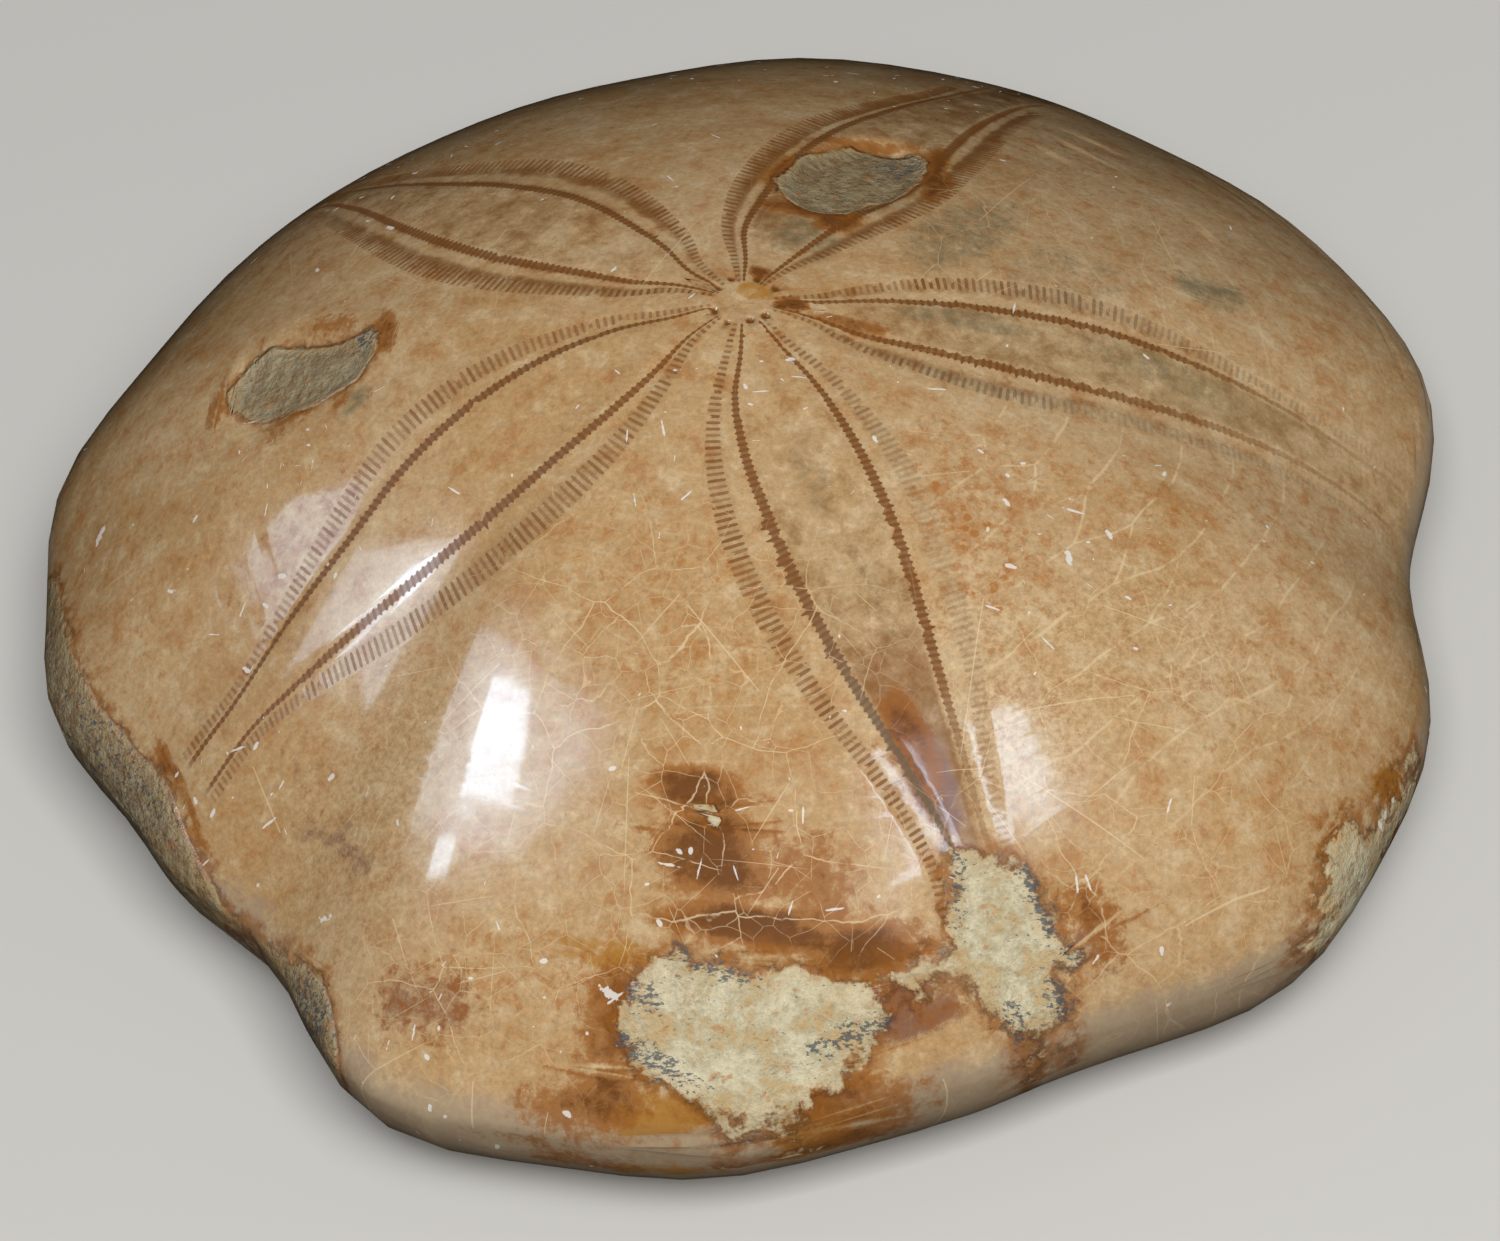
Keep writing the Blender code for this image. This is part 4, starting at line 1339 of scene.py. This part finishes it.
@dataclass(frozen=True)
class PolishedStone:
    """The stone: honey calcite under a polish, with its pores, stains, veins and filling."""

    name: str = "polished_calcite"
    # Pale serves the stone's lighter mottling and the painted sheen
    pale: Colour = seen(206, 182, 144)
    tan: Colour = seen(192, 160, 118)
    honey: Colour = seen(184, 148, 102)
    rust: Colour = seen(168, 108, 52)
    unpolished: Colour = seen(164, 148, 126)
    vein: Colour = seen(226, 202, 160)
    chip: Colour = seen(228, 225, 218)
    row_brown: Colour = seen(116, 68, 22)
    row_grey: Colour = seen(104, 94, 76)
    dark_brown: Colour = seen(96, 56, 24)
    halo_brown: Colour = seen(150, 92, 36)
    channel_brown: Colour = seen(122, 78, 34)
    grey_green: Colour = seen(112, 104, 78)
    purple: Colour = seen(122, 84, 72)
    mustard: Colour = seen(166, 112, 30)
    field_grey: Colour = seen(134, 114, 76)
    field_brown: Colour = seen(128, 84, 44)
    cream: Colour = seen(208, 198, 166)
    filling_green: Colour = seen(188, 178, 146)
    filling_tan: Colour = seen(190, 160, 112)
    filling_grey: Colour = seen(142, 127, 96)
    filling_brown: Colour = seen(116, 92, 60)
    blue_black: Colour = seen(66, 76, 84)
    polish: float = 0.2
    coat_roughness: float = 0.07

    def build(self) -> bpy.types.Material:
        """Builds the material."""
        material = bpy.data.materials.new(self.name)
        material.use_nodes = True
        graph = Graph(material.node_tree)
        shader = material.node_tree.nodes["Principled BSDF"]
        object_place = graph.add("ShaderNodeTexCoord").outputs["Object"]
        ground = self.lay_ground(graph, graph.vector("MULTIPLY", object_place, (1e3, 1e3, 1e3)))
        layers = [graph.colours(f"marks_{number}") for number in range(len(Mark) // 3)]
        marks = dict(zip(Mark, (part for layer in layers for part in layer), strict=True))
        lane, ring, cell = self.row_places(graph)
        colour = self.stone_colour(graph, ground, marks)
        colour = self.plates(graph, ground, colour, marks, (lane, ring, cell))
        colour = self.tinted(graph, ground, colour, marks, lane)
        slits, colour = self.rows(graph, ground, colour, (lane, ring, cell))
        colour = self.veined(graph, ground, colour, marks[Mark.VEINS])
        filling, colour = self.filling(graph, ground, colour, marks)
        chips, colour = self.chips(graph, ground, colour, marks[Mark.CHIPS])
        pits = graph.value("pits")
        colour = graph.mix(graph.step(pits, 0.15, 0.8), colour, self.row_brown)
        graph.feed(shader.inputs["Base Color"], colour)
        dull = graph.math("MAXIMUM", graph.times(filling, 0.6), graph.times(slits, 0.8))
        dull = graph.math("MAXIMUM", dull, graph.times(chips, 0.9))
        dull = graph.math("MAXIMUM", dull, graph.times(ground.bare, 0.8))
        rough = graph.math("MULTIPLY_ADD", ground.coarse, 0.16, self.polish - 0.06)
        rough = graph.math("MULTIPLY_ADD", dull, 0.4, rough, clamp=True)
        graph.feed(shader.inputs["Roughness"], rough)
        coat = graph.math("SUBTRACT", 0.9, graph.times(dull, 0.8), clamp=True)
        graph.feed(shader.inputs["Coat Weight"], coat)
        shader.inputs["Coat Roughness"].default_value = self.coat_roughness
        graph.feed(shader.inputs["Normal"], self.bump(graph, ground.place))
        return material

    @staticmethod
    def lay_ground(graph: Graph, place: Socket) -> Ground:
        """Makes what the layers share."""
        coarse = graph.noise(place, 0.45, 5.0, 0.70, 0.2)
        fine = graph.noise(place, 0.95, 5.0, 0.74, 0.2)
        parts = graph.add("ShaderNodeSeparateXYZ")
        graph.feed(parts.inputs[0], place)
        edge = graph.math("MULTIPLY_ADD", coarse, 5.0, 8.9)
        bare = graph.step(graph.math("SUBTRACT", parts.outputs[2], edge), 0.8, -0.8)
        return Ground(place, coarse, fine, bare)

    @staticmethod
    def row_places(graph: Graph) -> tuple[Socket, Socket, Socket]:
        """Gives a point's lane, its ring, and lane and half petal together."""
        parts = graph.add("ShaderNodeSeparateXYZ")
        graph.feed(parts.inputs[0], graph.add("ShaderNodeUVMap", uv_map="lanes").outputs[0])
        whole = parts.outputs[0]
        return graph.math("MODULO", whole, HALF_PETAL_STEP), parts.outputs[1], whole

    def stone_colour(self, graph: Graph, ground: Ground, marks: dict[Mark, Socket]) -> Socket:
        """Gives the stone's colour: clouds, mottling, fine grain, rust, and a pale painted sheen.
        """
        clouds = graph.step(graph.noise(ground.place, 0.06, 2.0, 0.55, 0.4), 0.36, 0.64)
        colour = graph.mix(clouds, self.tan, self.honey)
        light = graph.times(graph.step(ground.coarse, 0.49, 0.33), 0.6)
        colour = graph.mix(light, colour, self.pale)
        deep = graph.times(graph.step(ground.coarse, 0.50, 0.66), 0.5)
        colour = graph.mix(deep, colour, self.rust)
        grain = graph.noise(ground.place, 2.2, 4.0, 0.8)
        # Painted sheen: the spots lighten the stone to pale, with grain, where the windows are
        # mirrored in it
        pale = graph.times(marks[Mark.PAINTED_SHEEN], graph.step(grain, 0.35, 0.6), 0.8)
        colour = graph.mix(pale, colour, self.pale)
        rusty = graph.math("MULTIPLY_ADD", marks[Mark.RUST], 0.13, ground.fine)
        colour = graph.mix(graph.times(graph.step(rusty, 0.57, 0.74), 0.6), colour, self.rust)
        shade = graph.math("ADD", grain, 0.49)
        colour = graph.mix(1.0, colour, self.grey(graph, shade), "MULTIPLY")
        return graph.mix(graph.times(ground.bare, 0.65), colour, self.unpolished)

    @staticmethod
    def grey(graph: Graph, value: Socket) -> Socket:
        """Makes a grey of one value."""
        node = graph.add("ShaderNodeCombineColor")
        for socket in node.inputs[:3]:
            graph.feed(socket, value)
        return node.outputs[0]

    def plates(
        self,
        graph: Graph,
        ground: Ground,
        colour: Socket,
        marks: dict[Mark, Socket],
        places: tuple[Socket, Socket, Socket],
    ) -> Socket:
        """Draws the plates between the petals: pale seams, and rust spots along them."""
        lane, ring, whole = places
        half_petal = graph.math("DIVIDE", whole, HALF_PETAL_STEP)
        side = graph.math("FLOOR", graph.math("MODULO", half_petal, 2.0))
        side = graph.math("MULTIPLY_ADD", side, 2.0, -1.0)
        wander = graph.math("MULTIPLY_ADD", graph.noise(ground.place, 0.10, 2.0), 6.0, -3.0)
        along = graph.math("DIVIDE", graph.math("ADD", ring, wander), 8.6)
        zigzag = graph.math("PINGPONG", graph.math("MULTIPLY", along, 2.0), 1.0)
        zigzag = graph.math("MULTIPLY_ADD", zigzag, 3.0, -1.5)
        from_middle = graph.times(graph.math("SUBTRACT", float(LANES_EACH_SIDE), lane), side)
        from_middle = graph.math("SUBTRACT", from_middle, zigzag)
        column = graph.math("GREATER_THAN", from_middle, 0.0)
        phase = graph.math("MULTIPLY_ADD", column, 0.5, along)
        seam = graph.apart(graph.math("FRACT", phase), 0.5)
        line = graph.step(seam, 0.462, 0.488)
        middle_line = graph.step(graph.math("ABSOLUTE", from_middle), 0.24, 0.06)
        line = graph.math("MAXIMUM", line, middle_line)
        outside = graph.step(lane, 10.9, 11.3)
        worn = graph.step(ground.coarse, 0.60, 0.44)
        line = graph.times(line, marks[Mark.PLATES], outside, worn)
        dots = graph.add("ShaderNodeTexVoronoi")
        graph.feed(dots.inputs["Vector"], graph.warped(ground.place, 2.0, 0.35))
        dots.inputs["Scale"].default_value = 1.15
        gather = graph.step(ground.coarse, 0.45, 0.58)
        dot = graph.step(dots.outputs["Distance"], 0.42, 0.26)
        dot = graph.times(dot, gather, marks[Mark.SPOTS])
        dot = graph.times(dot, graph.step(seam, 0.47, 0.38), outside, 0.8)
        colour = graph.mix(dot, colour, self.rust)
        return graph.mix(graph.times(line, 0.5), colour, self.vein)

    def tinted(
        self,
        graph: Graph,
        ground: Ground,
        colour: Socket,
        marks: dict[Mark, Socket],
        lane: Socket,
    ) -> Socket:
        """Lays the stains over the stone, broken up by noise."""
        field_grey, field_brown, channel_brown = graph.colours("field_stains")
        nearest = graph.math("MINIMUM", graph.apart(lane, 8.4), graph.apart(lane, 6.3))
        bands = graph.step(nearest, 1.0, 0.45)
        stains = (
            (field_grey, self.field_grey, ground.coarse, 0.12, 0.95),
            (field_brown, self.field_brown, ground.coarse, 0.12, 0.95),
            (graph.times(channel_brown, bands), self.channel_brown, ground.coarse, 0.0, 0.8),
            (marks[Mark.GREY_GREEN], self.grey_green, ground.fine, 0.25, 0.95),
            (marks[Mark.MUSTARD], self.mustard, ground.coarse, 0.25, 0.7),
            (marks[Mark.PURPLE], self.purple, ground.fine, 0.25, 0.75),
            (marks[Mark.DARK_BROWN], self.halo_brown, ground.fine, 0.12, 0.45),
            (marks[Mark.DARK_BROWN], self.dark_brown, ground.fine, 0.42, 0.90),
        )
        for amount, tint, mottle, low, high in stains:
            broken = graph.math("MULTIPLY_ADD", mottle, 1.3, -0.65)
            spread = graph.step(graph.math("ADD", amount, broken), low, high)
            present = graph.step(amount, 0.0, 0.12)
            colour = graph.mix(graph.times(spread, present, 0.8), colour, tint)
        return colour

    def veined(self, graph: Graph, ground: Ground, colour: Socket, veins: Socket) -> Socket:
        """Draws the pale hairline veins and long scratches."""
        bent = graph.warped(graph.warped(ground.place, 0.12, 3.0), 0.9, 0.35)
        amount = graph.math("MULTIPLY_ADD", veins, 0.85, 0.10, clamp=True)
        broken = graph.step(ground.coarse, 0.40, 0.54)
        for scale, width, strength in ((0.14, 0.008, 0.7), (0.36, 0.012, 0.5)):
            cells = graph.add("ShaderNodeTexVoronoi", feature="DISTANCE_TO_EDGE")
            graph.feed(cells.inputs["Vector"], bent)
            cells.inputs["Scale"].default_value = scale
            line = graph.step(cells.outputs["Distance"], width, 0.2 * width)
            colour = graph.mix(graph.times(line, broken, amount, strength), colour, self.vein)
        share = graph.times(amount, 0.95)
        for scale, length, width in ((0.09, 7.0, 0.05), (0.15, 4.2, 0.035), (0.26, 2.4, 0.03)):
            line = self.flecks(graph, ground.place, (scale, length, width, 0.0), share)
            colour = graph.mix(graph.times(line, 0.5), colour, self.vein)
        return colour

    @staticmethod
    def flecks(
        graph: Graph, place: Socket, sizes: tuple[float, float, float, float], amount: Socket
    ) -> Socket:
        """Places the flecks group.

        Args:
            graph: The material's nodes.
            place: Where a point is, in millimetres.
            sizes: Scale, length, width and raggedness.
            amount: The share of flecks that show.

        Returns:
            The mask.
        """
        group = bpy.data.node_groups.get("flecks") or make_flecks()
        node = graph.add("ShaderNodeGroup", node_tree=group)
        graph.feed(node.inputs["Vector"], place)
        for name, size in zip(("Scale", "Length", "Width", "Ragged"), sizes, strict=True):
            graph.feed(node.inputs[name], size)
        graph.feed(node.inputs["Amount"], amount)
        return node.outputs["Mask"]

    def rows(
        self, graph: Graph, ground: Ground, colour: Socket, places: tuple[Socket, Socket, Socket]
    ) -> tuple[Socket, Socket]:
        """Colours the rows of pores.

        Returns:
            How far a point lies in a pore, and the colour.
        """
        lane, ring, whole = places
        node = graph.add("ShaderNodeAttribute", attribute_name="row_stains")
        stains = graph.add("ShaderNodeSeparateColor")
        graph.feed(stains.inputs[0], node.outputs["Color"])
        outer, inner, outer_grey = stains.outputs[:3]
        inner_grey = node.outputs["Alpha"]
        between = graph.apart(graph.math("FRACT", ring), 0.5)
        ragged = graph.math("MULTIPLY_ADD", graph.noise(ground.place, 5.0, 2.0), 0.5, -0.25)
        ended = graph.step(ring, PORES_IN_ROW + 0.2, PORES_IN_ROW - 3.0)
        in_rows = graph.times(graph.step(ring, -0.2, 0.4), ended)
        seed = graph.add("ShaderNodeTexWhiteNoise", noise_dimensions="2D")
        cell = graph.add("ShaderNodeCombineXYZ")
        graph.feed(cell.inputs[0], graph.math("FLOOR", ring))
        graph.feed(cell.inputs[1], graph.math("FLOOR", whole))
        graph.feed(seed.inputs["Vector"], cell.outputs[0])
        vary = graph.math("MULTIPLY_ADD", seed.outputs["Value"], 0.35, 0.65)
        masks = []
        for middle, width, power in ((SLIT_LANE, 0.25, 6.0), (PORE_LANE, 0.30, 3.0)):
            across = graph.math("MULTIPLY", graph.apart(lane, middle), 2.0)
            across = graph.math("POWER", across, power)
            round_way = graph.math("POWER", graph.math("DIVIDE", between, width), 2.0)
            out = graph.math("ADD", graph.math("ADD", across, round_way), ragged)
            masks.append(graph.step(out, 1.25, 0.75))
        slit = graph.times(masks[0], outer, vary)
        core = graph.math("MULTIPLY_ADD", ragged, 0.4, graph.apart(lane, PORE_LANE))
        core = graph.step(core, 0.42, 0.28)
        pore = graph.math("MAXIMUM", graph.times(masks[1], inner), graph.times(core, inner, 0.85))
        stain = graph.step(graph.apart(lane, SLIT_LANE), 0.75, 0.35)
        slit = graph.times(graph.math("MAXIMUM", slit, graph.times(stain, outer, 0.16)), in_rows)
        pore = graph.times(pore, in_rows)
        outer_colour = graph.mix(outer_grey, self.row_brown, self.row_grey)
        inner_colour = graph.mix(inner_grey, self.row_brown, self.row_grey)
        colour = graph.mix(graph.times(slit, 0.85), colour, outer_colour)
        colour = graph.mix(graph.times(pore, 0.92), colour, inner_colour)
        return graph.math("MAXIMUM", slit, pore), colour

    def chips(
        self, graph: Graph, ground: Ground, colour: Socket, chips: Socket
    ) -> tuple[Socket, Socket]:
        """Scatters small white chips.

        Returns:
            How far a point lies in a chip, and the colour.
        """
        mask: Input = 0.0
        for scale, length, width, base, more in (
            (0.36, 0.60, 0.20, 0.015, 0.20),
            (0.80, 0.26, 0.12, 0.05, 0.34),
            (0.60, 0.55, 0.06, 0.04, 0.40),
        ):
            amount = graph.math("MULTIPLY_ADD", chips, more, base)
            found = self.flecks(graph, ground.place, (scale, length, width, 1.6), amount)
            mask = graph.math("MAXIMUM", mask, found)
        return mask, graph.mix(graph.times(mask, 0.75), colour, self.chip)

    def filling(
        self, graph: Graph, ground: Ground, colour: Socket, marks: dict[Mark, Socket]
    ) -> tuple[Socket, Socket]:
        """Colours the filling that shows in the worn places, and the brown round it.

        Returns:
            How far a point lies in the filling, and the colour.
        """
        depth = graph.value("filling")
        ragged = graph.math("MULTIPLY_ADD", ground.coarse, 4.0, -2.0)
        edge = graph.math("ADD", depth, ragged)
        mask = graph.step(edge, -0.1, 0.35)
        halo = graph.times(graph.step(edge, -1.6, -0.2), graph.step(ground.fine, 0.36, 0.56))
        colour = graph.mix(graph.times(halo, 0.7), colour, self.halo_brown)
        rim = graph.times(graph.step(edge, -0.7, -0.1), graph.step(ground.fine, 0.60, 0.44))
        colour = graph.mix(graph.times(rim, 0.7), colour, self.dark_brown)
        soft = graph.noise(ground.place, 0.42, 4.0, 0.74, 0.3)
        tone = graph.mix(graph.step(soft, 0.40, 0.55), self.cream, self.filling_green)
        tone = graph.mix(graph.times(graph.step(soft, 0.50, 0.64), 0.8), tone, self.filling_tan)
        dull = graph.mix(graph.step(ground.fine, 0.42, 0.58), self.filling_grey, self.filling_brown)
        tone = graph.mix(graph.times(marks[Mark.GREY_FILLING], 0.9), tone, dull)
        spots = graph.noise(ground.place, 1.3, 3.0, 0.62)
        tone = graph.mix(graph.times(graph.step(spots, 0.60, 0.68), 0.6), tone, self.rust)
        tone = graph.mix(graph.times(graph.step(edge, 1.6, 0.0), 0.45), tone, self.filling_tan)
        shade = graph.math("MULTIPLY_ADD", graph.noise(ground.place, 2.6, 3.0, 0.8), 0.8, 0.60)
        tone = graph.mix(1.0, tone, self.grey(graph, shade), "MULTIPLY")
        colour = graph.mix(graph.times(mask, 0.95), colour, tone)
        run = graph.noise(graph.stretched(ground.place, (1.8, 4.2, 2.6), 24.0), 1.0, 3.0, 0.72)
        speck = graph.math("MULTIPLY_ADD", marks[Mark.BLUE_SPECKS], 0.19, run)
        speck = graph.times(graph.step(speck, 0.64, 0.71), graph.step(edge, -0.8, 0.2), 0.8)
        return mask, graph.mix(speck, colour, self.blue_black)

    def bump(self, graph: Graph, place: Socket) -> Socket:
        """Gives the normal: soft waves, polishing lines and the filling's grain."""
        depth = graph.value("filling")
        lines = graph.noise(graph.stretched(place, (0.25, 3.0, 1.0), 28.0), 1.0, 2.0)
        waves = graph.noise(place, 0.20, 2.0, 0.45)
        height = graph.math("MULTIPLY_ADD", waves, 0.16, graph.times(lines, 0.007))
        filled = graph.step(depth, -0.2, 0.4)
        grain = graph.times(graph.noise(place, 1.3, 3.0, 0.68), 0.30, filled)
        height = graph.math("ADD", height, grain)
        node = graph.add("ShaderNodeBump")
        node.inputs["Strength"].default_value = 1.0
        node.inputs["Distance"].default_value = MM
        graph.feed(node.inputs["Height"], height)
        return node.outputs["Normal"]


@dataclass(frozen=True)
class Softbox:
    """A soft light, which either lights the stone or is mirrored in its polish.

    bearing and rise give its direction in degrees from a plan point, and turn how far it is
    turned about its own axis. away and size are in metres.
    """

    name: str
    lit: Point
    bearing: float
    rise: float
    size: Point
    brightness: float
    turn: float = 0.0
    away: float = 0.6
    mirrored: bool = True
    colour: tuple[float, float, float] = (1.0, 1.0, 1.0)
    # The height in metres of what it lights
    height: float = 0.03

    def build(self) -> None:
        """Places the light and turns it to what it lights."""
        data = bpy.data.lights.new(self.name, "AREA")
        data.shape = "RECTANGLE"
        data.size, data.size_y = self.size
        data.color = self.colour
        data.energy = self.brightness * self.size[0] * self.size[1] * math.pi
        light = bpy.data.objects.new(self.name, data)
        bpy.context.scene.collection.objects.link(light)
        turn, rise = math.radians(self.bearing), math.radians(self.rise)
        flat = math.cos(rise)
        toward = Vector((math.cos(turn) * flat, math.sin(turn) * flat, math.sin(rise)))
        lit = Vector((self.lit[0] * MM, self.lit[1] * MM, self.height))
        light.location = lit + toward * self.away
        light.rotation_mode = "QUATERNION"
        roll = Quaternion((0.0, 0.0, 1.0), math.radians(self.turn))
        light.rotation_quaternion = toward.to_track_quat("Z", "Y") @ roll
        light.visible_glossy = self.mirrored
        light.visible_diffuse = not self.mirrored


DAYLIGHT = (0.62, 0.80, 1.0)
FRONT_LEFT_SLOPE = (-13.0, -30.0)
FRONT_SLOPE = (19.0, -33.0)
SOFTBOXES = (
    Softbox(
        "window_veil",
        lit=FRONT_LEFT_SLOPE,
        bearing=183.5,
        rise=45.9,
        size=(0.145, 0.42),
        turn=141.3,
        brightness=3.6,
        colour=DAYLIGHT,
    ),
    Softbox(
        "upper_pane",
        lit=FRONT_LEFT_SLOPE,
        bearing=190.5,
        rise=51.0,
        size=(0.07, 0.17),
        turn=140.0,
        brightness=12.0,
        colour=DAYLIGHT,
    ),
    Softbox(
        "lower_pane",
        lit=FRONT_LEFT_SLOPE,
        bearing=191.0,
        rise=40.0,
        size=(0.03, 0.09),
        turn=140.0,
        brightness=11.0,
        colour=DAYLIGHT,
    ),
    Softbox(
        "second_window",
        lit=FRONT_SLOPE,
        bearing=-56.0,
        rise=61.5,
        size=(0.05, 0.22),
        turn=-12.4,
        brightness=7.5,
        colour=DAYLIGHT,
    ),
    Softbox(
        "key",
        lit=(0.0, 0.0),
        bearing=-72.0,
        rise=56.0,
        size=(0.6, 0.5),
        brightness=9.8,
        away=0.9,
        mirrored=False,
    ),
)


@dataclass
class Studio:
    """The floor, the lights and the camera."""

    floor_colour: Colour = seen(205, 203, 198)
    world_strength: float = 0.13
    target: tuple[float, float, float] = (3.3155, 1.1933, 34.19)
    heading: float = 9.0
    elevation: float = 43.567
    away: float = 392.69
    # How far the camera is then turned, in degrees: about its own axis, up and sideways
    roll: float = 7.293
    pitch: float = 3.11
    yaw: float = -0.33
    focal_pixels: float = 5803.3
    frame_pixels: float = 1500.0
    sensor: float = 36.0

    def build_camera(self) -> None:
        """Places the camera and makes it the scene's."""
        turn, rise = math.radians(self.heading), math.radians(self.elevation)
        flat = math.cos(rise)
        back = Vector((math.sin(turn) * flat, -math.cos(turn) * flat, math.sin(rise)))
        right = Vector((math.cos(turn), math.sin(turn), 0.0))
        straight = Matrix((right, back.cross(right), back))
        tilt = (
            Matrix.Rotation(math.radians(self.roll), 3, "Z")
            @ Matrix.Rotation(math.radians(self.pitch), 3, "X")
            @ Matrix.Rotation(math.radians(self.yaw), 3, "Y")
        )
        data = bpy.data.cameras.new("camera")
        data.sensor_fit = "HORIZONTAL"
        data.sensor_width = self.sensor
        data.lens = self.focal_pixels * self.sensor / self.frame_pixels
        data.clip_start, data.clip_end = 0.01, 20.0
        camera = bpy.data.objects.new("camera", data)
        bpy.context.scene.collection.objects.link(camera)
        camera.matrix_world = (tilt @ straight).transposed().to_4x4()
        camera.location = (Vector(self.target) + self.away * back) * MM
        bpy.context.scene.camera = camera

    def build_floor(self) -> None:
        """Makes the plain pale floor."""
        bpy.ops.object.select_all(action="DESELECT")
        bpy.ops.mesh.primitive_plane_add(size=6.0, location=(0.0, 0.0, 0.0))
        floor = bpy.context.object
        floor.name = "floor"
        material = bpy.data.materials.new("pale_floor")
        material.use_nodes = True
        shader = material.node_tree.nodes["Principled BSDF"]
        shader.inputs["Base Color"].default_value = self.floor_colour
        shader.inputs["Roughness"].default_value = 0.8
        floor.data.materials.append(material)
        floor.visible_glossy = False
        floor.visible_diffuse = False

    def build(self) -> None:
        """Makes all of the studio."""
        self.build_camera()
        self.build_floor()
        for box in SOFTBOXES:
            box.build()
        world = bpy.data.worlds.new("studio")
        bpy.context.scene.world = world
        world.use_nodes = True
        world.node_tree.nodes["Background"].inputs["Color"].default_value = (1.0, 1.0, 1.0, 1.0)
        world.node_tree.nodes["Background"].inputs["Strength"].default_value = self.world_strength
        world.cycles_visibility.glossy = False
        bpy.context.scene.view_settings.view_transform = "Standard"


def main() -> None:
    """Loads the frame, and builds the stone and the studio."""
    logging.basicConfig(level=logging.INFO, format="%(name)s: %(message)s")
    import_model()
    body = SeaUrchinTest().build()
    body.data.materials.clear()
    body.data.materials.append(PolishedStone().build())
    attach(body, "root")
    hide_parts(NODE)
    LOG.info("%s has %d faces", body.name, len(body.data.polygons))
    Studio().build()


if __name__ == "__main__":
    main()
